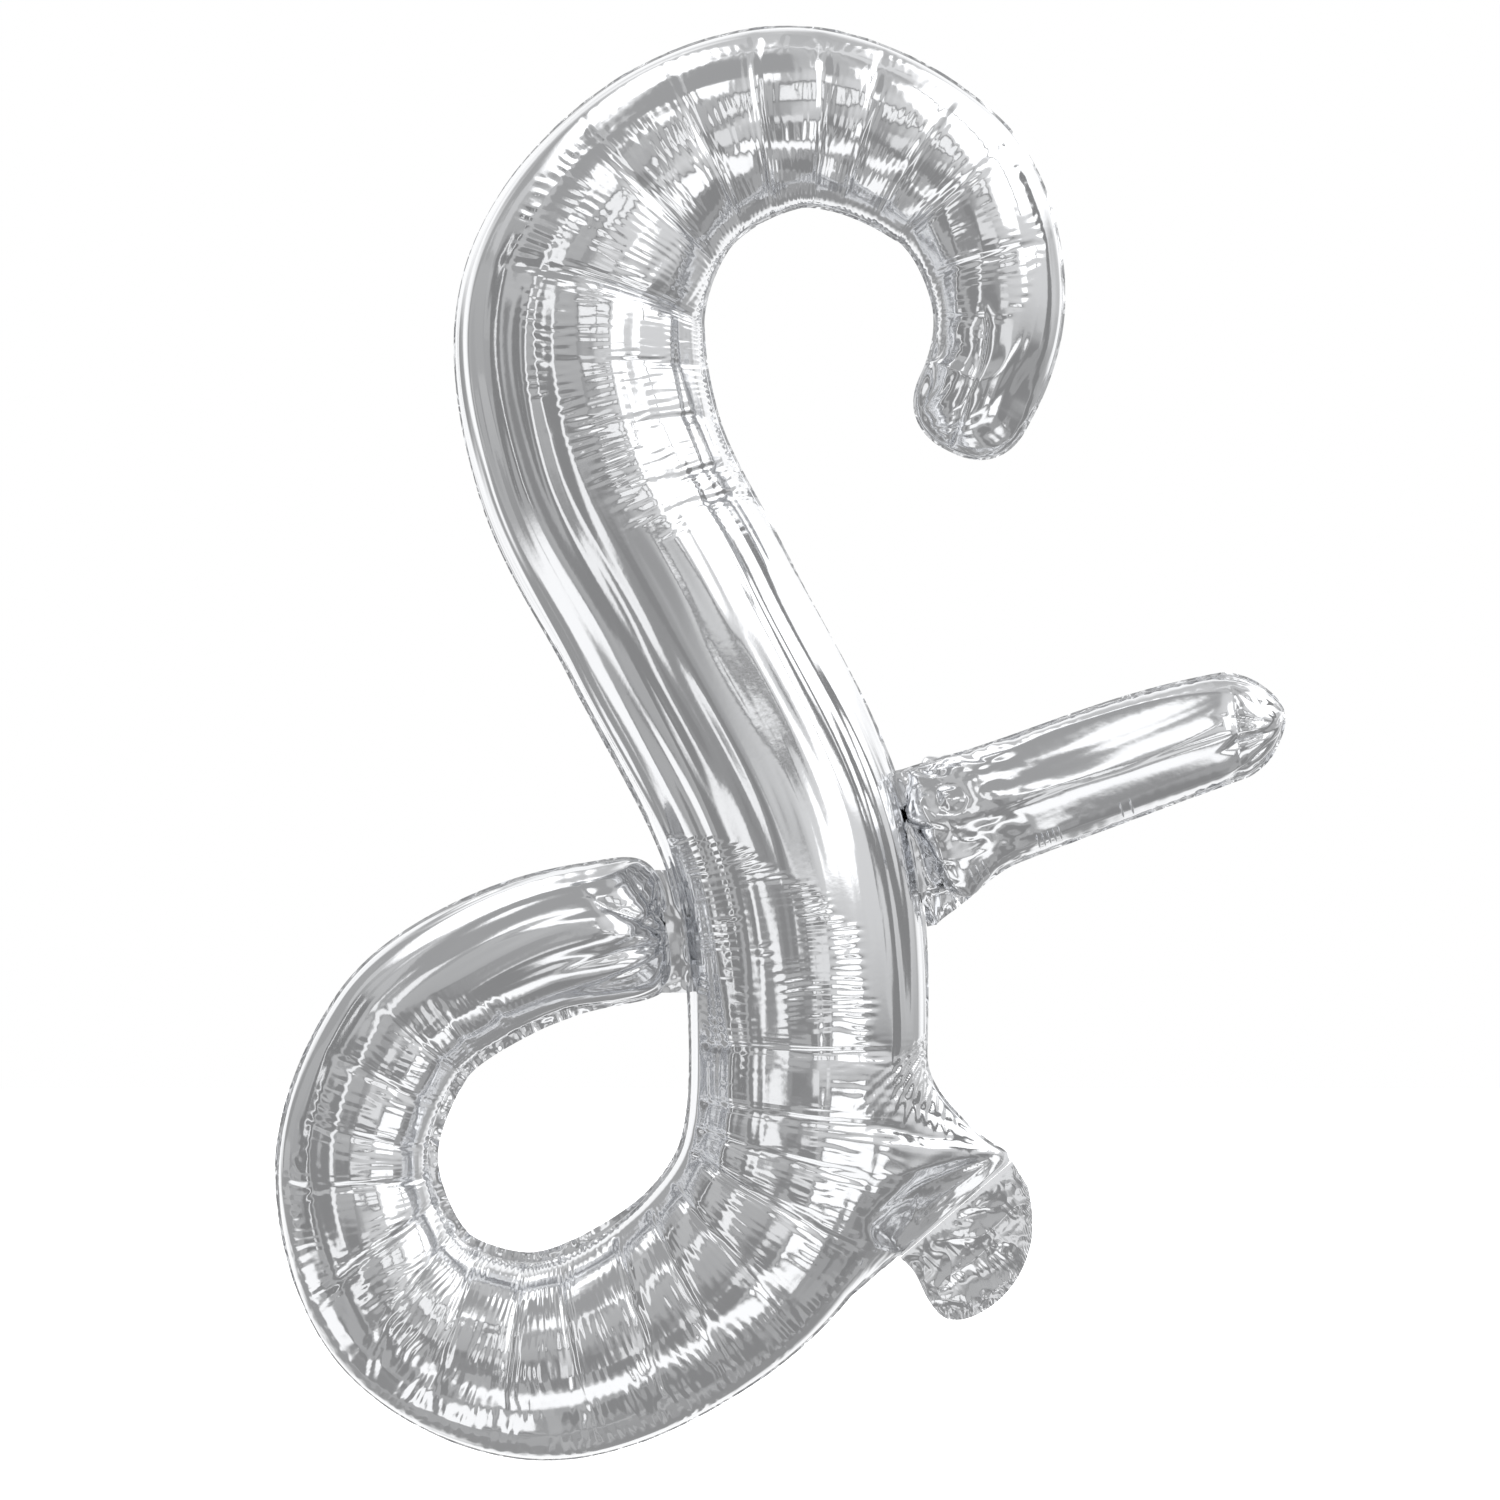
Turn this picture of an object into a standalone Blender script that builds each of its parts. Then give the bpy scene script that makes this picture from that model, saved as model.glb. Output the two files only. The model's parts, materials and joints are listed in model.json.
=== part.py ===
"""Script-letter foil balloon, filled with air.

The letter is one long tapering tube that hooks over at the top and loops round at the bottom. Two panels of
metallised film, front and back, are welded together round their edge, and the air rounds them out between the
welds. A short arm of the same make hangs on the stroke by a pinched root. A flat filling neck hangs on the
pointed pocket at the lower right, and the two films of the self-sealing valve start just inside that pocket.

Blender 4.5, metres, +Z up. The letter stands in the XZ plane, faces -Y, and its weld lies at y = 0. The outlines
below are drawn in millimetres, x to the right and z up, and main() moves the finished balloon so that the middle
of its box is the origin.
"""

import math

import bmesh
import bpy
import numpy as np
from mathutils import Matrix, Vector

MM = 0.001

# Driving dimensions, in millimetres.
FILM = 0.6  # wall of a panel: it stands in for film of about 0.04
VALVE_FILM = 0.3  # wall of a valve film
VALVE_GAP = 0.3  # between the two valve films
WELD_GAP = 0.4  # between the two panels where they are welded
WELD_WIDTH = 9.0  # flat edge outside the inflated tube
HINGE_GAP = 1.7  # from a welded edge to the fold beside it, and from the fold to the film that turns
STATION_STEP = 36.0  # along the tube
POCKET_STEP = 16.0  # along the tube beside the pocket
SECTION_STEPS = 6  # facets across a panel
CAP_STEPS = 4  # rows that close the end of a tube
CURVE_STEP = 12.0  # along the neck's edge
PROBES = 1200  # places along the stroke that are tried when a cross-section is sought
FARTHEST = 300.0  # from the stroke's middle line to the pocket's weld, at most
TOLERANCE = 1e-6  # on a share of a straight piece of the pocket's weld
SHARPEST_MITRE = 0.8  # cosine: it keeps a sharp corner's edge from running far out
SHARP_ANGLE = 50.0  # degrees: a steeper edge is shaded as a crease

# The tube's middle line from the hook's tip to the loop's end: x, z, half width, half thickness.
STROKE = (
    (180, 330, 48, 44),
    (201, 433, 56, 55),
    (154, 538, 68, 67),
    (16, 598, 78, 77),
    (-117, 548, 89, 88),
    (-194, 424, 109, 105),
    (-179, 273, 112, 108),
    (-103, 120, 111, 108),
    (-4, -80, 110, 107),
    (20, -250, 106, 104),
    (1, -417, 101, 98),
    (-83, -521, 95, 93),
    (-231, -585, 91, 89),
    (-360, -536, 80, 79),
    (-411, -405, 69, 68),
    (-368, -280, 65, 64),
    (-287, -218, 64, 63),
    (-182, -183, 61, 58),
)
STROKE_CAPS = (2.4, 3.2)  # how blunt each end is: 2 is round

# The arm from its pinched root to its tip: x, z, half width, half thickness.
ARM = (
    (124, -84, 52, 1),
    (153, -76, 53, 28),
    (203, -58, 50, 46),
    (339, -9, 48, 47),
    (425, 17, 43, 41),
)
ARM_CAP = 2.6
ARM_STEP = 30.0
ARM_WEB = 30.0  # how far the flat web under the arm's root hangs below the weld
ARM_WEB_LENGTH = 80.0

# The weld's path round the pocket that the filling neck hangs on. It leaves the stroke's side, runs out to the
# pocket's point, comes back along the fold line and joins the stroke again.
POCKET = ((117, -293), (135, -331), (165, -366), (208, -391), (101, -483), (52, -524))
POCKET_POINT, POCKET_END = 3, 4  # the ends of the fold line in that path

# The neck's free edge, from the pocket's point round to the other end of the fold.
NECK = ((230, -424), (234, -470), (223, -505), (203, -531), (175, -548), (152, -549), (136, -533), (124, -506))

VALVE_LENGTH, VALVE_WIDTH = 88.0, 44.0
VALVE_END_STEPS = 8  # straight pieces round a valve film's free end
VALVE_INSET = 4.0  # from the fold line to the root of the valve's films

LOOP_WEB = (-125, -236)  # top and bottom of the weld between the loop's end and the stroke's side


def film_material(name, colour, metallic, roughness):
    """A Principled material; the colour is linear."""
    made = bpy.data.materials.new(name)
    made.use_nodes = True
    shader = made.node_tree.nodes["Principled BSDF"]
    shader.inputs["Base Color"].default_value = (*colour, 1.0)
    shader.inputs["Metallic"].default_value = metallic
    shader.inputs["Roughness"].default_value = roughness
    made.diffuse_color = (*colour, 1.0)
    return made


def knots(points):
    """Running chord length of a list of points."""
    chord = np.linalg.norm(np.diff(points[:, :2], axis=0), axis=1)
    return np.concatenate(([0.0], np.cumsum(chord)))


def spline(points, at):
    """Rows read off the smooth curve through the given rows, at distances measured along their chords."""
    rows = np.array(points, float)
    mark = knots(rows)
    slope = np.empty_like(rows)
    slope[1:-1] = (rows[2:] - rows[:-2]) / (mark[2:] - mark[:-2])[:, None]
    slope[0] = 2 * (rows[1] - rows[0]) / mark[1] - slope[1]
    slope[-1] = 2 * (rows[-1] - rows[-2]) / (mark[-1] - mark[-2]) - slope[-2]
    piece = np.clip(np.searchsorted(mark, at, side="right") - 1, 0, len(rows) - 2)
    span = (mark[piece + 1] - mark[piece])[:, None]
    t = (at - mark[piece])[:, None] / span
    return (
        (2 * t**3 - 3 * t**2 + 1) * rows[piece]
        + (t**3 - 2 * t**2 + t) * span * slope[piece]
        + (3 * t**2 - 2 * t**3) * rows[piece + 1]
        + (t**3 - t**2) * span * slope[piece + 1]
    )


def unit(vectors):
    """The vectors at length 1."""
    return vectors / np.linalg.norm(vectors, axis=-1, keepdims=True)


def left_of(line):
    """Unit vectors to the left of someone who walks along a line of points, seen from the front."""
    along = unit(np.gradient(line, axis=0))
    return np.column_stack((-along[:, 1], along[:, 0]))


def evenly(start, end, step):
    """Marks from start to just before end, no further apart than step."""
    return np.linspace(start, end, math.ceil((end - start) / step), endpoint=False)


def facing(point, probe, line):
    """The distance along the stroke whose cross-section points at the given point, to its left."""
    left, reach = left_of(line), np.array(point, float) - line
    miss = reach[:, 0] * left[:, 1] - reach[:, 1] * left[:, 0]
    ahead = (reach * left).sum(axis=1)
    near = (np.sign(miss[1:]) != np.sign(miss[:-1])) & (ahead[1:] > 0) & (ahead[1:] < FARTHEST)
    i = int(np.flatnonzero(near)[0])
    share = miss[i] / (miss[i] - miss[i + 1])
    return float(probe[i] + share * (probe[i + 1] - probe[i]))


def pocket_extra(rows, left):
    """How far past the round tube's weld the pocket's weld lies, for each row of the stroke."""
    extra = np.zeros(len(rows))
    for i, (row, side) in enumerate(zip(rows, left)):
        for a, b in zip(POCKET, POCKET[1:]):
            a, b = np.array(a, float), np.array(b, float)
            reach, share = np.linalg.solve(np.column_stack((side, a - b)), a - row[:2])
            if -TOLERANCE <= share <= 1 + TOLERANCE and 0 < reach < FARTHEST:
                extra[i] = max(extra[i], reach - row[2])
    return extra


def stroke_rows():
    """The stroke's cross-sections, their left-hand sides and the pocket's reach to the left of each.

    One cross-section passes through each corner of the pocket's weld.
    """
    total = knots(np.array(STROKE, float))[-1]
    probe = np.linspace(0, total, PROBES)
    line = spline(STROKE, probe)[:, :2]
    corner = [facing(point, probe, line) for point in POCKET]
    marks = [evenly(0, corner[0], STATION_STEP)]
    marks += [evenly(a, b, POCKET_STEP) for a, b in zip(corner, corner[1:])]
    marks += [evenly(corner[-1], total, STATION_STEP), [total]]
    at = np.concatenate(marks)
    rows = spline(STROKE, at)
    left = np.array([np.interp(at, probe, side) for side in left_of(line).T]).T
    extra = pocket_extra(rows, unit(left))
    return rows, unit(left), extra


def capped(rows, left, extra, blunt):
    """The rows with a rounded end added: the middle runs on while the width and thickness close to a point."""
    turn = np.linspace(0, math.pi / 2, CAP_STEPS + 1)[1:]
    forward = np.array((left[-1, 1], -left[-1, 0]))
    reach = rows[-1, 2] * np.sin(turn) ** (2 / blunt)
    open_share = np.maximum(np.cos(turn), 0.0)
    open_share[-1] = 0.0
    cap = np.column_stack(
        (
            rows[-1, :2] + forward * reach[:, None],
            rows[-1, 2] * open_share ** (2 / blunt),
            rows[-1, 3] * open_share,
        )
    )
    more = np.repeat(left[-1:], CAP_STEPS, axis=0)
    return np.vstack((rows, cap)), np.vstack((left, more)), np.pad(extra, (0, CAP_STEPS))


def capped_at_start(rows, left, extra, blunt):
    """The same at the first row."""
    rows, left, extra = capped(rows[::-1], -left[::-1], extra[::-1], blunt)
    return rows[::-1], -left[::-1], extra[::-1]


def offset_line(line, width, closed):
    """The line moved by the given widths to the right of someone who walks along it."""
    if closed:
        before, after = np.roll(line, 1, axis=0), np.roll(line, -1, axis=0)
    else:
        before = np.vstack((2 * line[0] - line[1], line[:-1]))
        after = np.vstack((line[1:], 2 * line[-1] - line[-2]))
    first = unit(line - before)
    along = unit(first + unit(after - line))
    mitre = 1 / np.maximum((first * along).sum(axis=1), SHARPEST_MITRE)
    return line + np.column_stack((along[:, 1], -along[:, 0])) * (width * mitre)[:, None]


def weld_edges(right_weld, left_weld, web, closed_start):
    """The outer edge of the flat weld on the right and left of a tube. web widens the right-hand side."""
    count = len(right_weld)
    back = left_weld[-2:0:-1] if closed_start else left_weld[-2::-1]
    width = np.full(count + len(back), WELD_WIDTH)
    width[:count] += web
    edge = offset_line(np.vstack((right_weld, back)), width, closed_start)
    left_edge = np.vstack((edge[count - 1:], edge[:1])) if closed_start else edge[count - 1:]
    return edge[:count], left_edge[::-1]


def skin(rows, left, extra, web, closed_start):
    """Points of the outside of a panel over a tube, row by row from the right-hand edge to the left-hand one.

    Each point is x, depth from the weld's plane, z. extra is how much further out the left-hand weld lies.
    """
    phi = np.linspace(-math.pi / 2, math.pi / 2, SECTION_STEPS + 1)
    stretch = (np.clip(phi, 0, None) / (math.pi / 2)) ** 3
    across = rows[:, 2, None] * np.sin(phi) + extra[:, None] * stretch
    plane = rows[:, None, :2] + left[:, None, :] * across[:, :, None]
    level = WELD_GAP / 2 + FILM
    depth = level + rows[:, 3, None] * np.cos(phi)
    right_edge, left_edge = weld_edges(plane[:, 0], plane[:, -1], web, closed_start)
    plane = np.concatenate((right_edge[:, None], plane, left_edge[:, None]), axis=1)
    flat = np.full((len(rows), 1), level)
    depth = np.concatenate((flat, depth, flat), axis=1)
    return np.dstack((plane[:, :, 0], depth, plane[:, :, 1]))


def grid_mesh(points, toward):
    """A sheet of quads over a grid of points, in metres. toward is -1 for a front panel and 1 for a back one.

    Points that fall together, as they do at a tip, share one vertex.
    """
    mesh = bmesh.new()
    made = {}
    for place in {tuple(p): None for p in np.round(points.reshape(-1, 3), 2)}:
        x, y, z = place
        made[place] = mesh.verts.new((x * MM, toward * y * MM, z * MM))
    grid = [[made[tuple(p)] for p in row] for row in np.round(points, 2)]
    for near, far in zip(grid, grid[1:]):
        for corners in zip(near, near[1:], far[1:], far):
            mesh.faces.new(list(dict.fromkeys(corners)))
    return mesh, grid


def weld_loop_end(mesh, grid):
    """Fills the flat web between the loop's end and the stroke's side."""
    stroke_side = [row[0] for row in grid if LOOP_WEB[1] <= row[0].co.z / MM <= LOOP_WEB[0]]
    stroke_side = [v for v in stroke_side if v.co.x > grid[-1][0].co.x]
    loop_end = [row[side] for side in (0, -1) for row in grid[-CAP_STEPS:]]
    chains = set(stroke_side), set(loop_end)
    edges = [e for e in mesh.edges if e.is_boundary and any(set(e.verts) <= chain for chain in chains)]
    bmesh.ops.bridge_loops(mesh, edges=edges)


def wall(name, mesh, toward, thickness, pivot, shade):
    """An object whose wall grows inwards from the sheet, with its origin at the pivot."""
    bmesh.ops.recalc_face_normals(mesh, faces=mesh.faces)
    facing_y = sum(face.normal.y * face.calc_area() for face in mesh.faces)
    if facing_y * toward < 0:
        bmesh.ops.reverse_faces(mesh, faces=mesh.faces)
    data = bpy.data.meshes.new(name)
    mesh.to_mesh(data)
    mesh.free()
    data.materials.append(shade)
    data.shade_smooth()
    data.set_sharp_from_angle(angle=math.radians(SHARP_ANGLE))
    data.transform(Matrix.Translation(-pivot))
    made = bpy.data.objects.new(name, data)
    made.location = pivot
    bpy.context.scene.collection.objects.link(made)
    solid = made.modifiers.new("wall", "SOLIDIFY")
    solid.thickness = thickness * MM
    solid.offset = -1.0
    solid.use_even_offset = True
    return made


def stroke_panel(name, toward, pivot, shade):
    """One of the two big panels of the letter."""
    rows, left, extra = stroke_rows()
    rows, left, extra = capped_at_start(rows, left, extra, STROKE_CAPS[0])
    rows, left, extra = capped(rows, left, extra, STROKE_CAPS[1])
    mesh, grid = grid_mesh(skin(rows, left, extra, 0, True), toward)
    weld_loop_end(mesh, grid)
    return wall(name, mesh, toward, FILM, pivot, shade)


def arm_rows():
    """The arm's cross-sections from its root, their left-hand sides and their distances along it."""
    length = knots(np.array(ARM, float))[-1]
    at = np.append(evenly(0, length, ARM_STEP), length)
    rows = spline(ARM, at)
    return rows, left_of(rows[:, :2]), at


def arm_panel(name, toward, pivot, shade):
    """One of the two panels of the arm, with the web that hangs under its root."""
    rows, left, at = arm_rows()
    web = ARM_WEB * np.maximum(0, 1 - at / ARM_WEB_LENGTH) ** 2
    rows, left, extra = capped(rows, left, np.zeros(len(rows)), ARM_CAP)
    points = skin(rows, left, extra, np.pad(web, (0, CAP_STEPS)), False)
    mesh, _ = grid_mesh(points, toward)
    return wall(name, mesh, toward, FILM, pivot, shade)


def flat_sheet(outline, depth, toward):
    """A flat face inside an outline of x, z points, at a depth from the weld's plane."""
    mesh = bmesh.new()
    mesh.faces.new([mesh.verts.new((x * MM, toward * depth * MM, z * MM)) for x, z in outline])
    return mesh


def fold():
    """Both ends of the pocket's fold line, the way along it to the pocket's point, and the way out of it."""
    point, end = np.array(POCKET[POCKET_POINT], float), np.array(POCKET[POCKET_END], float)
    along = unit(point - end)
    return point, end, along, np.array((along[1], -along[0]))


def neck_panel(name, toward, pivot, shade):
    """One side of the flat filling neck, from the fold line to its free edge."""
    point, end, _, out = fold()
    root = WELD_WIDTH + 2 * HINGE_GAP
    free = np.array(NECK, float)
    edge = spline(free, np.append(evenly(0, knots(free)[-1], CURVE_STEP), knots(free)[-1]))
    outline = np.vstack((end + out * root, point + out * root, edge))
    mesh = flat_sheet(outline, WELD_GAP / 2 + FILM, toward)
    return wall(name, mesh, toward, FILM, pivot, shade)


def valve_film(name, toward, pivot, shade):
    """One film of the self-sealing valve, a tongue that reaches from the pocket's fold into the balloon."""
    point, end, along, out = fold()
    turn = np.linspace(0, math.pi, VALVE_END_STEPS + 1)
    half = VALVE_WIDTH / 2
    across = np.concatenate(([-half], -half * np.cos(turn), [half]))
    inward = np.concatenate(([0], VALVE_LENGTH - half + half * np.sin(turn), [0])) + VALVE_INSET
    outline = (point + end) / 2 + across[:, None] * along - inward[:, None] * out
    mesh = flat_sheet(outline, VALVE_GAP / 2 + VALVE_FILM, toward)
    return wall(name, mesh, toward, VALVE_FILM, pivot, shade)


def pivots():
    """Where each body turns: a point on the arm's root, on the neck's fold and on the valve's root."""
    point, end, _, out = fold()
    middle = (point + end) / 2
    rows, left, _ = arm_rows()
    arm = rows[0, :2] - np.array((left[0, 1], -left[0, 0])) * HINGE_GAP
    neck, valve = middle + out * (WELD_WIDTH + HINGE_GAP), middle - out * VALVE_INSET
    return [Vector((x * MM, 0, z * MM)) for x, z in (arm, neck, valve)]


def middle_of_box(objects):
    """The middle of the box round the objects' outsides."""
    corners = [o.location + v.co for o in objects for v in o.data.vertices]
    low = Vector(min(c[i] for c in corners) for i in range(3))
    high = Vector(max(c[i] for c in corners) for i in range(3))
    return (low + high) / 2


def main():
    for old in list(bpy.data.objects):
        bpy.data.objects.remove(old)
    silver = film_material("metallised film", (0.62, 0.63, 0.65), 1.0, 0.18)
    clear = film_material("valve film", (0.55, 0.58, 0.62), 0.0, 0.3)
    stroke = Vector((0, 0, 0))
    arm, neck, valve = pivots()
    objects = []
    for side, toward in (("front", -1), ("back", 1)):
        objects.append(stroke_panel(f"{side}_panel", toward, stroke, silver))
        objects.append(arm_panel(f"arm_{side}_panel", toward, arm, silver))
        objects.append(neck_panel(f"neck_{side}_panel", toward, neck, silver))
        objects.append(valve_film(f"valve_{side}_film", toward, valve, clear))
    middle = middle_of_box(objects)
    for each in objects:
        each.location -= middle


main()
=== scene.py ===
# %% [markdown]
# # A foil letter balloon
#
# The object is a party balloon in the shape of a script letter. Two sheets of metallised film are welded
# together round their edge, and the air between them rounds them into a fat tube. This lesson builds it in
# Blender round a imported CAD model, which fixes where everything is and how it moves. What makes such a
# balloon look real is not its outline but its surface: the film can bend but it cannot stretch or shrink,
# so wherever the tube curves, the film that is left over on the inner side has to go somewhere, and it goes
# into folds.

# %% Load the frame
import json
import math

import bpy
import numpy as np
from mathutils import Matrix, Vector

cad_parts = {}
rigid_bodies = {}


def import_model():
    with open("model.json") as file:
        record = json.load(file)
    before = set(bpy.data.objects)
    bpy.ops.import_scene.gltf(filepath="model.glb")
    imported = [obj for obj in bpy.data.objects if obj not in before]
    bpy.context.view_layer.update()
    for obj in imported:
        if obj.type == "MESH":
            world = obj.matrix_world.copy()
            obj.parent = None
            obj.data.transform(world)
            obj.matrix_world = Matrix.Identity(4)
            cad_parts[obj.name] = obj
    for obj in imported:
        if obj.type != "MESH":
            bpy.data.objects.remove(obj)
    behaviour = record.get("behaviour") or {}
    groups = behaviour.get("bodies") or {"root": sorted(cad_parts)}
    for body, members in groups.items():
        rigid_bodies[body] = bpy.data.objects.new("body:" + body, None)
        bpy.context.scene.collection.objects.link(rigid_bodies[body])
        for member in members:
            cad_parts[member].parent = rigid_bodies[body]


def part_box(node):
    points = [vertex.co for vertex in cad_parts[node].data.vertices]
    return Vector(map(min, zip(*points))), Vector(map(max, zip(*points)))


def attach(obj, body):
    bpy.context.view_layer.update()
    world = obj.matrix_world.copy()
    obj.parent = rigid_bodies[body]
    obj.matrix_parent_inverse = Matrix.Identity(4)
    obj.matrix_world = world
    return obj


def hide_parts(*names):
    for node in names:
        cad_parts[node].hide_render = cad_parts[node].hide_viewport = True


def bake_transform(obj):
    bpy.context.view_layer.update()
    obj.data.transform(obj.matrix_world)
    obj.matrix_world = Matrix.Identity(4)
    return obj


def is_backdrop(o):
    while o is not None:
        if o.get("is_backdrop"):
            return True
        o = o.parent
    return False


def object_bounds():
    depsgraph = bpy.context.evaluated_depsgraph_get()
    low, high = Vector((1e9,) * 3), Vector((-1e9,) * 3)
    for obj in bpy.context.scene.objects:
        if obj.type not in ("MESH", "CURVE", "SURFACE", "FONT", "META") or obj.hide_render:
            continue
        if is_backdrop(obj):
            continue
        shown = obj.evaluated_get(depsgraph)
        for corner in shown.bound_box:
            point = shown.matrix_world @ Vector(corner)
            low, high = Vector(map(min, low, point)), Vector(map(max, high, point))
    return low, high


for old in list(bpy.data.objects):
    bpy.data.objects.remove(old)
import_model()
cad_low, cad_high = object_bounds()
MM = 0.001

# %% [markdown]
# ## Colours and nodes
#
# Colours are picked on a screen, so they are sRGB, while Blender's sockets want linear values. One function
# turns a hex colour into linear numbers. A second one adds a shader node with its settings and its links in
# one call, which keeps each material short enough to read.

# %% Two helpers for materials


def colour(hex_code):
    """The linear colour of an sRGB hex code, with full alpha."""
    channels = [int(hex_code[i : i + 2], 16) / 255 for i in (1, 3, 5)]
    return (*[c / 12.92 if c <= 0.04045 else ((c + 0.055) / 1.055) ** 2.4 for c in channels], 1.0)


def add_node(tree, kind, links=None, inputs=None, **settings):
    """A node of that kind: inputs sets its sockets, links joins them to other nodes' outputs."""
    made = tree.nodes.new(kind)
    for name, value in settings.items():
        setattr(made, name, value)
    for name, value in (inputs or {}).items():
        made.inputs[name].default_value = value
    for name, (node, output) in (links or {}).items():
        tree.links.new(node.outputs[output], made.inputs[name])
    return made


def new_material(name):
    """An empty material with its node tree and its output node."""
    made = bpy.data.materials.new(name)
    made.use_nodes = True
    made.node_tree.nodes.clear()
    return made, made.node_tree, add_node(made.node_tree, "ShaderNodeOutputMaterial")


print("mid grey is", [round(c, 3) for c in colour("#808080")[:3]])

# %% [markdown]
# ## The film
#
# Foil balloons are made of nylon or polyester film, coated on the outside with a layer of aluminium a few
# atoms thick. The aluminium gives a mirror; the film under it is not perfectly flat, so the mirror is very
# slightly soft and faintly rippled. Real texture is a Noise whose scale comes from a size in millimetres:
# the waves of blown film are about 6 mm long, and its grain, drawn coarser than it is so that it shows, is
# 0.8 mm.

# %% The film's material
FILM_WAVE = 6.0
FILM_GRAIN = 0.8
FILM_ROUGHNESS = (0.06, 0.13)
WAVE_HEIGHT = 0.0004
NOISE_MIDDLE = (0.3, 0.7)  # most of a Noise texture's values lie between these


def per_metre(millimetres):
    """The scale of a texture whose features are that long."""
    return 1000 / millimetres


def between(given, wanted):
    """The inputs of a Map Range node that turns one range of values into another."""
    return {"From Min": given[0], "From Max": given[1], "To Min": wanted[0], "To Max": wanted[1]}


def aluminised_film():
    """A nearly perfect mirror, softened a little by the film's grain and bent a little by its waves."""
    made, tree, out = new_material("aluminised polyester film")
    place = add_node(tree, "ShaderNodeTexCoord")
    wave = add_node(
        tree,
        "ShaderNodeTexNoise",
        links={"Vector": (place, "Object")},
        inputs={"Scale": per_metre(FILM_WAVE), "Detail": 2.0, "Roughness": 0.5},
    )
    grain = add_node(
        tree,
        "ShaderNodeTexNoise",
        links={"Vector": (place, "Object")},
        inputs={"Scale": per_metre(FILM_GRAIN), "Detail": 1.0},
    )
    rough = add_node(
        tree,
        "ShaderNodeMapRange",
        links={"Value": (grain, "Fac")},
        inputs=between(NOISE_MIDDLE, FILM_ROUGHNESS),
    )
    bump = add_node(
        tree,
        "ShaderNodeBump",
        links={"Height": (wave, "Fac")},
        inputs={"Strength": 0.12, "Distance": WAVE_HEIGHT},
    )
    shader = add_node(
        tree,
        "ShaderNodeBsdfPrincipled",
        links={"Roughness": (rough, "Result"), "Normal": (bump, "Normal")},
        inputs={"Base Color": colour("#E6E7E9"), "Metallic": 1.0},
    )
    tree.links.new(shader.outputs["BSDF"], out.inputs["Surface"])
    return made


film = aluminised_film()
print("made", film.name)

# %% [markdown]
# ## Curves and noise
#
# A tube along a smooth path needs three tools. A spline runs smoothly through a few points and carries the
# tube's width along with them. A left-hand vector says which way is sideways at each step. And since no two
# wrinkles are alike, a smooth random function gives them their unevenness. It is seeded, so it gives the
# same film every time.

# %% Curves and noise
FINE_STEPS = 4000
NOISE_SIZE = 128


def unit(vectors):
    """The same directions, one long."""
    return vectors / np.maximum(np.linalg.norm(vectors, axis=-1, keepdims=True), 1e-12)


def running_length(line):
    """The length of a line of points up to each of them."""
    return np.concatenate(([0.0], np.cumsum(np.linalg.norm(np.diff(line, axis=0), axis=1))))


def spline(points, at):
    """Rows read off the smooth curve through the given rows, at distances measured along their chords."""
    rows = np.array(points, float)
    mark = running_length(rows[:, :2])
    slope = np.empty_like(rows)
    slope[1:-1] = (rows[2:] - rows[:-2]) / (mark[2:] - mark[:-2])[:, None]
    slope[0] = 2 * (rows[1] - rows[0]) / mark[1] - slope[1]
    slope[-1] = 2 * (rows[-1] - rows[-2]) / (mark[-1] - mark[-2]) - slope[-2]
    piece = np.clip(np.searchsorted(mark, at, side="right") - 1, 0, len(rows) - 2)
    span = (mark[piece + 1] - mark[piece])[:, None]
    t = (at - mark[piece])[:, None] / span
    return (
        (2 * t**3 - 3 * t**2 + 1) * rows[piece]
        + (t**3 - 2 * t**2 + t) * span * slope[piece]
        + (3 * t**2 - 2 * t**3) * rows[piece + 1]
        + (t**3 - t**2) * span * slope[piece + 1]
    )


def even_spline(points, step):
    """The same curve read off at even steps along its real length."""
    fine = np.linspace(0, running_length(np.array(points, float)[:, :2])[-1], FINE_STEPS)
    length = running_length(spline(points, fine)[:, :2])
    at = np.linspace(0, length[-1], round(length[-1] / step) + 1)
    return spline(points, np.interp(at, length, fine)), at


def left_of(line):
    """The direction to the left of a line at each of its points."""
    along = unit(np.gradient(line, axis=0))
    return np.column_stack((-along[:, 1], along[:, 0]))


def ease(low, high, value):
    """0 at low, 1 at high, and a smooth run between them. It falls when low is the larger one."""
    t = np.clip((value - low) / (high - low), 0, 1)
    return t * t * (3 - 2 * t)


def noise(x, y, seed):
    """Smooth random values from -1 to 1, a new one at each unit of x and y."""
    table = np.random.default_rng(seed).uniform(-1, 1, (NOISE_SIZE, NOISE_SIZE))
    x, y = np.broadcast_arrays(np.asarray(x, float), np.asarray(y, float))
    column, row = np.floor(x).astype(int), np.floor(y).astype(int)
    u, v = ease(0, 1, x - column), ease(0, 1, y - row)
    corner = [table[(column + i) % NOISE_SIZE, (row + j) % NOISE_SIZE] for i in (0, 1) for j in (0, 1)]
    return (corner[0] * (1 - v) + corner[1] * v) * (1 - u) + (corner[2] * (1 - v) + corner[3] * v) * u


def crumple(x, y, seed):
    """Random facets with sharp valleys between them, about one to each unit, mostly from 0 to 1."""
    total = np.zeros(np.broadcast(x, y).shape)
    for octave, share in enumerate((0.78, 0.2, 0.05)):
        grow = 2.1**octave
        total += share * np.abs(noise(x * grow + 7.3 * octave, y * grow, seed + octave)) * 2
    return total


print("noise runs from", round(noise(np.arange(99) / 3, 0.5, 1).min(), 2), "to", end=" ")
print(round(noise(np.arange(99) / 3, 0.5, 1).max(), 2))

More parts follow.
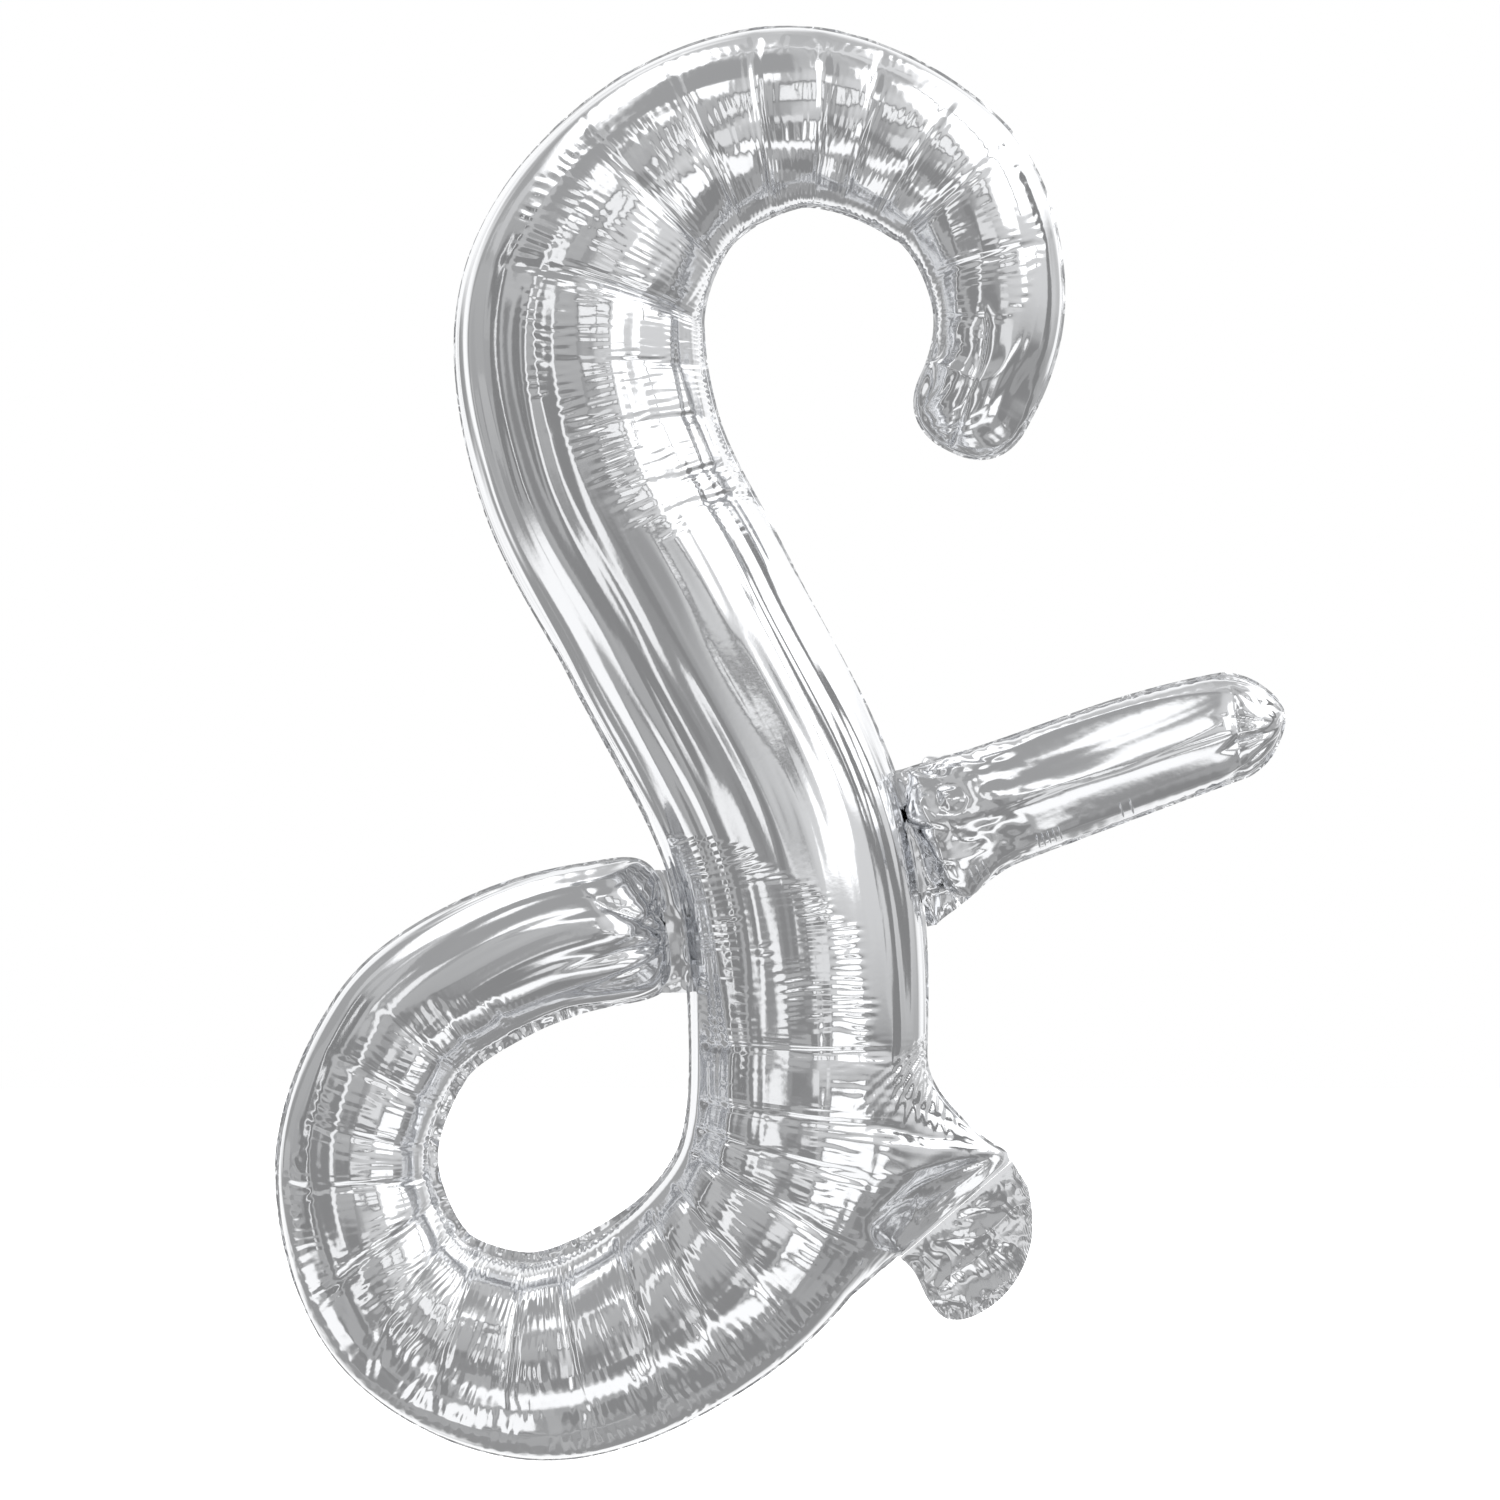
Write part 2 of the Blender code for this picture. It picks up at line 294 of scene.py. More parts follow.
# %% [markdown]
# ## The drawing of the letter
#
# The letter's stroke is one path from the tip of the hook to the end of the loop. Each row below is a point
# of it: x and z, half of the tube's width and half of its thickness, all in millimetres. The arm is a
# second path of the same kind. The pocket and the neck are outlines: the pocket is the point that the tube
# is drawn out to at the lower right, and the neck is the flat tab beyond it, through which the balloon is
# filled. These are the same numbers as in the CAD source, so the surface made here lies on the CAD panels
# that it replaces.

# %% The drawing
STROKE = (
    (180, 330, 48, 44),
    (201, 433, 56, 55),
    (154, 538, 68, 67),
    (16, 598, 78, 77),
    (-117, 548, 89, 88),
    (-194, 424, 109, 105),
    (-179, 273, 112, 108),
    (-103, 120, 111, 108),
    (-4, -80, 110, 107),
    (20, -250, 106, 104),
    (1, -417, 101, 98),
    (-83, -521, 95, 93),
    (-231, -585, 91, 89),
    (-360, -536, 80, 79),
    (-411, -405, 69, 68),
    (-368, -280, 65, 64),
    (-287, -218, 64, 63),
    (-182, -183, 61, 58),
)
STROKE_CAPS = (2.4, 4.5)  # how blunt each end is: 2 is round, and more is squarer
ARM = (
    (124, -84, 52, 1),
    (153, -76, 53, 28),
    (203, -58, 50, 46),
    (339, -9, 48, 47),
    (425, 17, 43, 41),
)
ARM_CAP = 1.6
POCKET = ((117, -293), (135, -331), (165, -366), (208, -391), (101, -483), (52, -524))
NECK = (
    (230, -424),
    (234, -470),
    (223, -505),
    (203, -531),
    (175, -548),
    (152, -549),
    (136, -533),
    (124, -506),
)
WELD_WIDTH = 9.0  # the flat edge where the two sheets are sealed together
PUFF = 6.0  # how much wider than in the CAD the tube is on each side, with that much less flat edge
FOLD_GAP = 1.7  # from the pocket's edge to the line that the neck folds about
SHEET_GAP = 0.35  # half the distance between two sheets that lie together
print(len(STROKE), "points draw the stroke")

# %% [markdown]
# ## A grid over a tube
#
# A panel is a grid: one row for each small step along the path, and one column for each small angle round
# the tube, from the weld on the right-hand side, over the crown, to the weld on the left. The ends close
# like pillows, with a superellipse that a power makes blunter or rounder. A few more columns outside each
# weld make the flat margin where the sheets are sealed together.

# %% A grid over a tube
ALONG = 1.7  # the step between two rows
COLUMNS = 132
MARGIN = 4


class Tube:
    """The rows of a tube: where its middle is, how wide it is, and how far along the path it is."""

    def __init__(self, points, first_cap, last_cap):
        """A tube along points, with the bluntness of each end, or None for an open end."""
        self.rows, self.at = even_spline(points, ALONG)
        self.rows[:, 2] += PUFF
        self.left = left_of(self.rows[:, :2])
        if first_cap:
            self.turn_round()
            self.close(first_cap)
            self.turn_round()
        if last_cap:
            self.close(last_cap)
        self.extra = np.zeros((2, len(self.rows)))

    def turn_round(self):
        """Runs the path the other way, so that its first end is its last one."""
        self.rows, self.left, self.at = self.rows[::-1], -self.left[::-1], -self.at[::-1]

    def close(self, blunt):
        """Adds the rows of a pillow end after the last row."""
        end, side = self.rows[-1], self.left[-1]
        ahead = np.array((side[1], -side[0]))
        t = np.sin(np.linspace(0, math.pi / 2, round(1.5 * end[2] / ALONG) + 1)[1:])
        width = np.maximum(1 - t**blunt, 0) ** (1 / blunt)
        middle = end[:2] + ahead * (end[2] * t)[:, None]
        cap = np.column_stack((middle, end[2] * width, end[3] * np.sqrt(np.maximum(1 - t**2, 0))))
        self.rows = np.vstack((self.rows, cap))
        self.left = np.vstack((self.left, np.repeat(side[None], len(t), axis=0)))
        self.at = np.concatenate((self.at, self.at[-1] + end[2] * t))


stroke = Tube(STROKE, *STROKE_CAPS)
print("the stroke is", round(stroke.at[-1] - stroke.at[0]), "mm long in", len(stroke.rows), "rows")

# %% [markdown]
# ## The pocket and the loop
#
# Two places leave the round tube. Beside the neck the left-hand weld runs out to the pocket's outline. Each
# row looks to its left for that outline, and how far it reaches past the tube is kept with the row. The
# start of the pocket is smoothed over a few rows, since a blown film has no corner there. Inside the loop
# the right-hand weld is drawn in a little, and the flat edge is wider by as much.

# %% The pocket and the loop
POCKET_CURVE = 260  # the points on its curved upper part
POCKET_SIDE = -60
POCKET_HEIGHTS = (-520, -240)
POCKET_FARTHEST = 300
POCKET_SMOOTHING = 33  # rows
LOOP_TUCK = PUFF + 3


def pocket_reach(tube, line):
    """How far past the round tube's weld a drawn weld lies, measured to the left of each row."""
    extra = np.zeros(len(tube.rows))
    a, b = line[:-1], line[1:]
    for i, (row, side) in enumerate(zip(tube.rows, tube.left)):
        if row[0] < POCKET_SIDE or not POCKET_HEIGHTS[0] < row[1] < POCKET_HEIGHTS[1]:
            continue
        from_a, edge = a - row[:2], b - a
        turn = side[0] * edge[:, 1] - side[1] * edge[:, 0]
        turn = np.where(np.abs(turn) < 1e-9, 1e-9, turn)
        reach = (from_a[:, 0] * edge[:, 1] - from_a[:, 1] * edge[:, 0]) / turn
        share = (from_a[:, 0] * side[1] - from_a[:, 1] * side[0]) / turn
        hit = (share >= 0) & (share <= 1) & (reach > 0) & (reach < POCKET_FARTHEST)
        extra[i] = max(0.0, (reach[hit] - row[2] + PUFF).max(initial=0.0))
    return extra


upper = POCKET[:4]
curved = spline(upper, np.linspace(0, running_length(np.array(upper, float))[-1], POCKET_CURVE))
drawn = pocket_reach(stroke, np.vstack((curved, POCKET[4:])))
window = np.hanning(POCKET_SMOOTHING)
soft = np.convolve(drawn, window / window.sum(), "same")
stroke.extra[1] = drawn + (soft - drawn) * ease(1520, 1470, stroke.at)
stroke.extra[0] = -LOOP_TUCK * ease(1650, 1800, stroke.at) * ease(2500, 2440, stroke.at)
print("the pocket stands out by", round(stroke.extra[1].max()), "mm")

# %% [markdown]
# ## Where the film folds
#
# On the outer side of a bend the film is stretched tight and smooth. On the inner side there is too much of
# it. It gathers into a few deep creases that run straight across the tube, and the film between two creases
# bulges like a small cushion and carries fine ripples. So each place on the tube gets one number, here
# called inner: -1 at the outer weld, 0 on the crown and 1 at the weld inside the bend. The stroke bends one
# way in the hook and the other way in the loop, so inner changes side in between, where the tube is
# straight and nothing folds.
#
# Each crease is a row: how far along the stroke it crosses the crown, how much it slants, how far out it
# reaches (as a value of inner), and how deep it is.

# %% Where the film folds
BEND_CHANGES = 1075  # how far along the stroke its bend changes side
CREASES = (
    (71, 0, 0.05, 4.0),
    (133, -4, -0.60, 6.0),
    (206, -6, -0.70, 6.0),
    (260, 0, -0.66, 5.0),
    (317, -10, -0.84, 6.0),
    (360, -12, -0.80, 5.5),
    (420, 14, -0.82, 6.5),
    (480, 6, -0.62, 6.0),
    (555, 6, -0.58, 7.0),
    (661, -5, -0.50, 11.0),
    (743, 14, -0.28, 2.5),
    (805, 18, -0.24, 3.0),
    (872, 22, -0.08, 3.5),
    (903, 24, 0.02, 4.0),
    (1428, -5, -0.88, 5.0),
    (1491, 0, -0.70, 4.5),
    (1531, -3, -0.60, 5.0),
    (1577, -11, -0.98, 7.0),
    (1640, -12, -0.75, 4.0),
    (1700, -22, -0.80, 4.5),
    (1757, -32, -0.74, 5.5),
    (1827, -15, -0.72, 5.0),
    (1890, 5, -0.76, 5.5),
    (1952, 25, -0.80, 5.0),
    (2010, 42, -0.70, 5.5),
    (2066, 30, -0.80, 6.0),
    (2132, -3, -0.82, 6.0),
    (2180, 0, -0.62, 4.5),
    (2238, -2, -0.55, 5.0),
    (2290, 0, -0.36, 4.5),
    (2330, 0, -0.10, 4.0),
    (2374, 4, 0.15, 4.0),
)
CREASE_LENGTH = 17.0
print(len(CREASES), "creases, the deepest", max(row[3] for row in CREASES), "mm")

# %% [markdown]
# ## Fine ripples and deep creases
#
# Two functions turn the plan into heights. The ripples are a wave along the tube whose crests wander, come
# and go, and carry a second, finer wave. They start at a ragged rim and are highest there and at the seam.
# Their plan says, for places along the hook and along the loop, how far out they reach and how high they
# are. A crease is a sharp valley with long shoulders, and it gets deeper towards the inner side.

# %% Fine ripples and deep creases
RIPPLE_AT = (-40, 40, 90, 130, 300, 450, 560, 660, 720, 850, 930, 965)
RIPPLE_REACH = (0.6, 0.3, -0.3, -0.55, -0.7, -0.66, -0.58, -0.46, -0.30, -0.10, 0.10, 0.6)
RIPPLE_HIGH = (0.00, 0.16, 0.22, 0.20, 0.15, 0.17, 0.30, 0.38, 0.40, 0.42, 0.36, 0.0)
LOOP_RIPPLE_AT = (1170, 1205, 1260, 1330, 1420, 1450, 1600, 1750, 1950, 2060, 2200, 2350, 2440)
LOOP_RIPPLE_REACH = (0.9, 0.30, 0.0, -0.30, -0.48, -0.62, -0.66, -0.76, -0.78, -0.80, -0.45, 0.0, 0.5)
LOOP_RIPPLE_HIGH = (0.1, 0.45, 0.50, 0.50, 0.46, 0.24, 0.26, 0.38, 0.44, 0.28, 0.22, 0.18, 0.0)
RIPPLE_LENGTH = 8.6
CREASE_REACH = 110


def ripple_plan(at):
    """How far out the ripples reach and how high they are, at each distance along the stroke."""
    hook = [np.interp(at, RIPPLE_AT, plan) for plan in (RIPPLE_REACH, RIPPLE_HIGH)]
    loop = [np.interp(at, LOOP_RIPPLE_AT, plan) for plan in (LOOP_RIPPLE_REACH, LOOP_RIPPLE_HIGH)]
    return [np.where(at < BEND_CHANGES, *pair) for pair in zip(hook, loop)]


def ripples(at, inner, girth, seed):
    """The fine ripples' height over a grid, in millimetres."""
    reach, high = ripple_plan(at)
    crest = np.round(at / RIPPLE_LENGTH)
    ragged = 0.10 * noise(crest * 0.97, 0.5, seed) + 0.05 * noise(at / 60, 0.5, seed + 1)
    edge = inner - reach - ragged
    inside = ease(0.0, 0.10, edge)
    rim = 1.1 * np.exp(-((edge - 0.08) ** 2) / 0.006) + 1.6 * ease(0.7, 0.9, inner)
    wander = 0.45 * noise(at / 31, inner * 2.6, seed + 2) + 0.26 * noise(at / 12, inner * 7, seed + 3)
    wave = np.cos(2 * math.pi * (at / RIPPLE_LENGTH + wander))
    patch = 0.55 + 0.75 * noise(at / 19, girth / 26, seed + 4)
    dash = 0.7 + 1.1 * noise(at / 9, girth / 11, seed + 5)
    second = 0.5 * np.cos(2 * math.pi * (at / (RIPPLE_LENGTH * 0.53) + 2 * wander))
    second *= noise(at / 23, girth / 17, seed + 6)
    return high * inside * (np.clip(patch, 0.2, 1.7) * np.clip(dash, 0.1, 1.8) + rim) * (wave + second)


def creases(at, inner, seed):
    """The deep creases' depth over a grid, in millimetres, below the film stretched between them."""
    total = np.zeros(inner.shape)
    for number, (place, slant, reach, depth) in enumerate(CREASES):
        near = np.abs(at[:, 0] - place) < CREASE_REACH
        i = inner[near]
        wobble = 1.6 * noise(i * 3.1, number + 0.5, seed) + 0.5 * noise(i * 11, number + 0.5, seed + 1)
        x = at[near] - place - slant * i - wobble
        start = ease(reach - 0.05, reach + 0.25, i)
        deeper = (0.45 + 0.55 * ease(reach, 0.6, i)) * (1 - 0.75 * ease(0.55, 0.95, i))
        valley = np.exp(-np.abs(x) / CREASE_LENGTH) * 0.75 + np.exp(-np.abs(x) / 4.0) * 0.35
        beside = 0.07 * np.cos(2 * math.pi * x / 6.1) * np.exp(-((x / 12) ** 2))
        total[near] += depth * start * deeper * (valley - beside)
    return total


print("the ripples are up to", max(RIPPLE_HIGH + LOOP_RIPPLE_HIGH), "mm high before their rim is added")

# %% [markdown]
# ## Tight film, streaks and the seam
#
# Where the film is tight it still isn't perfect: long shallow streaks run along the tube, which a mirror
# finish shows at once. And at the weld the film's edge has no room left, so it puckers: short folds stand
# in from the seam all the way round, longest at the pillow ends, where the seam turns sharply.

# %% Streaks and puckers
STREAK_AT = (-60, 60, 300, 560, 700, 900, 1100, 1200, 1450, 1700, 2100, 2300, 2500)
STREAK_HIGH = (1.6, 1.0, 0.5, 0.8, 2.0, 2.4, 2.6, 2.0, 1.6, 0.7, 0.7, 1.6, 2.0)


def streaks(at, girth, seed):
    """Long shallow waves that run along the tube."""
    high = np.interp(at, STREAK_AT, STREAK_HIGH)
    broad = noise(at / 210, girth / 34, seed)
    fine = 0.5 * noise(at / 190, girth / 14, seed + 1) + 0.22 * noise(at / 120, girth / 6.5, seed + 2)
    fine += 0.06 * noise(at / 80, girth / 3.1, seed + 3)
    return high * (broad + fine)


def pucker(seam, distance, length, reach, seed):
    """Short folds that stand in from a seam, at a length along it and a distance from it."""
    place = seam / length + 0.35 * noise(seam / (3 * length), 0.5, seed)
    fold = np.abs(place - np.round(place)) * 2
    depth = 0.6 + 0.4 * noise(np.round(place) * 1.7, 0.5, seed + 1)
    inward = reach * (0.75 + 0.5 * noise(np.round(place) * 2.3, 0.5, seed + 2))
    return -depth * (1 - fold) ** 1.6 * np.exp(-distance / inward)


print("streaks are up to", max(STREAK_HIGH), "mm high")

# %% [markdown]
# ## From tube to film
#
# Now the grid becomes film. Each row's section is half an ellipse. Beside the filling neck it is drawn out
# into a pointed pocket. The folds are added along the surface's own normal, and they fade out at the weld,
# where both sheets have to meet. The margin outside the weld is flat but ruffled, and both sheets share its
# ruffles.

# %% From tube to film
EVEN_SHARE = 0.4  # the columns are partly even and partly closer together near the welds
WELD_FADE = 9.0
MARGIN_CARRY = 7.0  # how far the margin's ruffles run on into the tube


def seam_margin(line, inward, width, seed, strength):
    """Points of the ruffled margin outside a weld line: MARGIN columns of x, z and y."""
    along = unit(np.gradient(line, axis=0))
    out = np.column_stack((along[:, 1], -along[:, 0]))
    out *= np.sign((out * -inward).sum(axis=1))[:, None]
    length = running_length(line)[:, None]
    share = np.arange(1, MARGIN + 1) / MARGIN
    flat = line[:, None, :] + out[:, None, :] * (width[:, None] * share)[:, :, None]
    reach = width[:, None] / WELD_WIDTH
    ruffle = 2.2 * noise(length / 17, 0.5, seed) + 0.5 * noise(length / 6, share * 1.4, seed + 1)
    ruffle += 2.2 * reach * (crumple(length / 12, share * reach, seed + 2) - 0.5)
    return flat, ruffle * share * np.reshape(strength, (-1, 1))


def panel_points(tube, toward, displace, margin, seed, strength):
    """Points of one panel, row by row, in millimetres, from the right-hand margin to the left-hand one."""
    share = np.linspace(-1, 1, COLUMNS + 1)
    phi = math.pi / 2 * (EVEN_SHARE * share + (1 - EVEN_SHARE) * np.sin(share * math.pi / 2))
    rows, left = tube.rows, tube.left
    across = rows[:, 2, None] * np.sin(phi)
    for sign, extra in zip((-1, 1), tube.extra):
        across += sign * extra[:, None] * (np.clip(sign * phi, 0, None) / (math.pi / 2)) ** 3
    plane = rows[:, None, :2] + left[:, None, :] * across[:, :, None]
    depth = rows[:, 3, None] * np.cos(phi)
    base = np.dstack((plane[:, :, 0], -depth, plane[:, :, 1]))
    slope = np.cross(np.gradient(base, axis=1), np.gradient(base, axis=0))
    normal = unit(slope)
    normal[normal[:, :, 1] > 0] *= -1
    right_weld, left_weld = plane[:, 0], plane[:, -1]
    girth = np.cumsum(np.linalg.norm(np.diff(base, axis=1, prepend=base[:, :1]), axis=2), axis=1)
    distance = np.minimum(girth, girth[:, -1:] - girth)
    height = displace(tube, phi, girth, distance, plane)
    taper = ease(0, WELD_FADE, distance)
    base += normal * (height * taper)[:, :, None]
    right, right_y = seam_margin(right_weld, left, margin[0], seed, strength[0])
    left_side, left_y = seam_margin(left_weld, -left, margin[1], seed + 9, strength[1])
    near = np.exp(-distance / MARGIN_CARRY)
    half = np.arange(COLUMNS + 1) < COLUMNS / 2
    edge_y = np.where(half, right_y[:, :1], left_y[:, :1]) * near
    y = toward * -base[:, :, 1] + edge_y + toward * SHEET_GAP * (1 - taper) ** 2
    skin = np.dstack((base[:, :, 0], y, base[:, :, 2]))
    edges = [
        np.dstack((flat[:, :, 0], ruffled + toward * SHEET_GAP, flat[:, :, 1]))
        for flat, ruffled in ((right, right_y), (left_side, left_y))
    ]
    return np.concatenate((edges[0][:, ::-1], skin, edges[1]), axis=1)


print("a panel has", COLUMNS + 1 + 2 * MARGIN, "columns")

# %% [markdown]
# ## Folds that meet in a point
#
# Where a seam turns sharply the folds don't run across the tube: they fan out of the corner. There are a
# few long ones, placed one by one, at the loop's end and at the pocket's point. Where the seam curves the
# other way, as it does below the arm and below the pocket, it gathers many small ones.

# %% Folds that meet in a point
# Each long fold has a bearing in degrees, a depth in millimetres and a width in degrees.
POCKET_FOLDS = ((150, 2.5, 3.0), (166, 3.5, 4.0), (184, -5.0, 6.0), (201, 5.0, 3.4), (211, 2.5, 2.0))
LOOP_FOLDS = ((128, 4.0, 5.0), (152, 7.0, 5.0), (171, -4.0, 8.0), (190, 8.0, 4.5), (205, 3.5, 4.0))
LOOP_FAN = (-98, -190)
# Small folds: the point they fan out of, the first and last bearing, the step between two, how near that
# point they start and where they have faded, and how deep they are.
GATHERS = (
    ((152, -262), (216, 292), 6.0, (18, 140), 4.2),
    ((117, -463), (22, 80), 7.0, (8, 65), 2.6),
)


def polar(x, z, centre):
    """How far each point is from a centre, and its bearing from there in degrees."""
    x, z = x - centre[0], z - centre[1]
    return np.hypot(x, z), np.degrees(np.arctan2(z, x)) % 360


def fan(x, z, centre, folds, far, seed):
    """The depth of folds that fan out of a point and fade with the distance from it."""
    away, heading = polar(x, z, centre)
    total = np.zeros(x.shape)
    for bearing, depth, width in folds:
        bent = heading - bearing - 4 * noise(away / 40, bearing * 0.37, seed)
        total += depth * np.exp(-np.abs(bent) / width)
    return total * ease(8, 40, away) * ease(far, 0.4 * far, away)


def gathered(x, z, centre, bearings, step, reach, seed):
    """The height of small folds that fan out of a point between two bearings."""
    away, heading = polar(x, z, centre)
    first, last = bearings
    inside = ease(first - 6, first + 2, heading) * ease(last + 6, last - 2, heading)
    inside *= ease(reach[0], 1.6 * reach[0], away) * ease(reach[1], 0.6 * reach[1], away)
    beyond = np.clip(away - 0.4 * reach[1], 0, None)
    return inside * pucker(heading, beyond, step, 0.5 * reach[1], seed)


print(len(POCKET_FOLDS), "folds meet in the pocket's point and", len(LOOP_FOLDS), "at the loop's end")

# %% [markdown]
# ## All layers of the stroke
#
# One function adds the layers up. It works on the whole grid at once, so each line is one kind of fold and
# says where on the letter it belongs. The layers that run all along the stroke come first. Then come those
# of its two ends and of the pocket. Beside the lower stroke's inner weld one band is drawn tight and stays
# smooth.

# %% All layers of the stroke
POCKET_ROWS = (1300, 1800)  # how far along the stroke the pocket's folds start and end


def along_seams(phi, plane):
    """How far along the nearer weld each point of the grid lies."""
    return np.where(phi < 0, running_length(plane[:, 0])[:, None], running_length(plane[:, -1])[:, None])


def stroke_height(seed):
    """The function that gives the height of one side's folds over the stroke's grid."""

    def displace(tube, phi, girth, distance, plane):
        at = tube.at[:, None]
        x, z = plane[:, :, 0], plane[:, :, 1]
        side = np.where(at < BEND_CHANGES, 1, -1)
        inner = side * phi[None, :] / (math.pi / 2)
        smooth_band = ease(0.66, 0.78, inner) * ease(1080, 1130, at) * ease(1780, 1700, at)
        height = (ripples(at, inner, girth, seed) - creases(at, inner, seed + 20)) * (1 - 0.9 * smooth_band)
        height += streaks(at, girth, seed + 30)
        seam = along_seams(phi, plane)
        # The two ends: puckers round their seams, facets and a long fold on the hook's tip, and a fan on
        # the loop's end.
        end = 1 - ease(-10, 50, at) + 0.5 * ease(2370, 2440, at)
        height += 2.6 * end * pucker(seam, distance, 21, 22, seed + 40)
        tip = ease(62, 10, at)
        height -= tip * 10 * np.abs(noise(at / 58 + 0.3, (girth - 90) / 52, seed + 41))
        height -= 5 * ease(95, 55, at) * np.exp(-np.abs(inner - 0.10 - at / 900) / 0.07)
        height -= fan(x, z, LOOP_FAN, LOOP_FOLDS, 130, seed + 42) * ease(2340, 2400, at)
        # Small puckers along the seam inside the bend.
        fringe = ease(0.1, 0.9, inner) * (1 - smooth_band)
        height += 1.2 * fringe * pucker(seam, distance, RIPPLE_LENGTH, 9, seed + 43)
        # The pocket: a few long folds and the small ones that its seam gathers.
        pocket = (at > POCKET_ROWS[0]) & (at < POCKET_ROWS[1])
        height -= fan(x, z, POCKET[3], POCKET_FOLDS, 170, seed + 50) * pocket
        for number, (centre, bearings, step, reach, high) in enumerate(GATHERS):
            folds = gathered(x, z, centre, bearings, step, reach, seed + 46 + number)
            height += high * folds * (phi > 0) * pocket
        return height

    return displace


print("the layers follow", len(CREASES), "creases and", len(GATHERS), "gathered seams")

# %% [markdown]
# ## A sheet in the frame
#
# The drawing has its own origin, so everything is moved by the distance between the middle of the drawn
# outline and the middle of the CAD panel's box. A sheet is then a mesh of four-sided faces over a grid of
# points. Each CAD part that gets a new skin is named and hidden, so that the skin takes its place.

# %% A sheet in the frame
low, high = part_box("front_panel")
out = stroke.left * (stroke.rows[:, 2:3] + WELD_WIDTH)
weld = np.vstack([stroke.rows[:, :2] + side * out for side in (-1, 1)])
shift = np.array([(low[i] + high[i]) / 2 for i in (0, 2)])
shift -= (weld.min(axis=0) + weld.max(axis=0)) / 2 * MM
origin = np.array((shift[0], 0, shift[1]))


def link_object(name, mesh):
    """A new object in the scene."""
    made = bpy.data.objects.new(name, mesh)
    bpy.context.scene.collection.objects.link(made)
    return made


def sheet_object(name, points, toward):
    """A mesh object over a grid of points, with its faces turned outwards."""
    count, width = points.shape[:2]
    place = points.reshape(-1, 3) * MM + origin
    corner = np.arange(count * width).reshape(count, width)
    a, b, c, d = corner[:-1, :-1], corner[:-1, 1:], corner[1:, 1:], corner[1:, :-1]
    quads = np.stack((a, b, c, d), axis=-1) if toward < 0 else np.stack((d, c, b, a), axis=-1)
    quads = quads.reshape(-1, 4)
    mesh = bpy.data.meshes.new(name)
    mesh.vertices.add(len(place))
    mesh.vertices.foreach_set("co", place.astype(np.float32).ravel())
    mesh.loops.add(quads.size)
    mesh.loops.foreach_set("vertex_index", quads.astype(np.int32).ravel())
    mesh.polygons.add(len(quads))
    mesh.polygons.foreach_set("loop_start", np.arange(0, quads.size, 4, dtype=np.int32))
    mesh.update(calc_edges=True)
    mesh.shade_smooth()
    mesh.materials.append(film)
    return link_object(name, mesh)


def declare(skin, node):
    """Hides the CAD part whose place a skin takes, and prints how many faces the skin has."""
    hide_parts(node)
    print(skin.name, "has", len(skin.data.polygons), "faces")


print("the drawing's origin lies at", np.round(shift / MM, 1), "mm in the frame")

# %% [markdown]
# ## The neck's fold
#
# The flat neck folds at the pocket's lower edge, along a straight line. The hands that filled the balloon
# have crumpled the film on both sides of it, and the crumpling has to run on across the fold, so it is a
# field over the drawing that the pocket and the neck both read. It is weak at the hinge itself, where two
# skins that turn about one line would otherwise cut through each other.

# %% The neck's fold
FOLD_FADE = 14.0
HINGE_SHY = 0.2  # how far each skin stays away from the line that the neck folds about
FOLD_PUFF = 3.0  # how much further out than drawn the tube runs along the fold


def neck_field(x, z):
    """How far the crumpled film lies out of the weld's plane, over the drawing."""
    turned, tilted = (x + 0.6 * z) / 46, (z - 0.5 * x) / 30
    broad = 3.4 * (np.abs(noise(turned, tilted, 51)) - 0.25)
    sharp = 1.3 * (np.abs(noise(x / 24 + 3, z / 15, 52)) - 0.3)
    fine = 0.5 * (np.abs(noise((x - z) / 13, (x + z) / 8, 53)) - 0.3)
    return broad + sharp + fine


def beside_fold(past):
    """How much of the crumpling there is, by how far past the neck's hinge: little at the hinge itself."""
    on_neck = 0.12 + 0.88 * ease(0, FOLD_FADE, past)
    on_pocket = 0.12 + 0.30 * ease(0, -8, past) * ease(-24, -10, past)
    return np.where(past > 0, on_neck, on_pocket)


fold_point, fold_end = np.array(POCKET[3], float), np.array(POCKET[4], float)
fold_along = unit(fold_point - fold_end)
fold_out = np.array((fold_along[1], -fold_along[0]))
# The rows whose weld lies on the fold run out to the hinge, with a little more tube and a wider flat edge.
drawn_weld = stroke.rows[:, :2] + stroke.left * (stroke.rows[:, 2] - PUFF + stroke.extra[1])[:, None]
past_fold = (drawn_weld - fold_end) @ fold_along
on_fold = ease(3, 1, np.abs((drawn_weld - fold_end) @ fold_out)) * (past_fold > -2)
on_fold[stroke.extra[1] < 2] = 0
right_width = WELD_WIDTH - PUFF - stroke.extra[0]
stroke.extra[1] += FOLD_PUFF * on_fold
weld_line = stroke.rows[:, :2] + stroke.left * (stroke.rows[:, 2] + stroke.extra[1])[:, None]
to_fold = WELD_WIDTH + FOLD_GAP - HINGE_SHY - (weld_line - fold_end) @ fold_out
left_width = (WELD_WIDTH - PUFF) * (1 - on_fold) + to_fold * on_fold
print("the fold is", round(float(np.linalg.norm(fold_point - fold_end))), "mm long")

# %% [markdown]
# ## The two big skins
#
# The front skin and the back one are the same grid with other random folds. Near the neck's fold their
# points are pressed flat and then crumpled with the field that the neck reads as well. Both skins ride on
# the balloon's body.

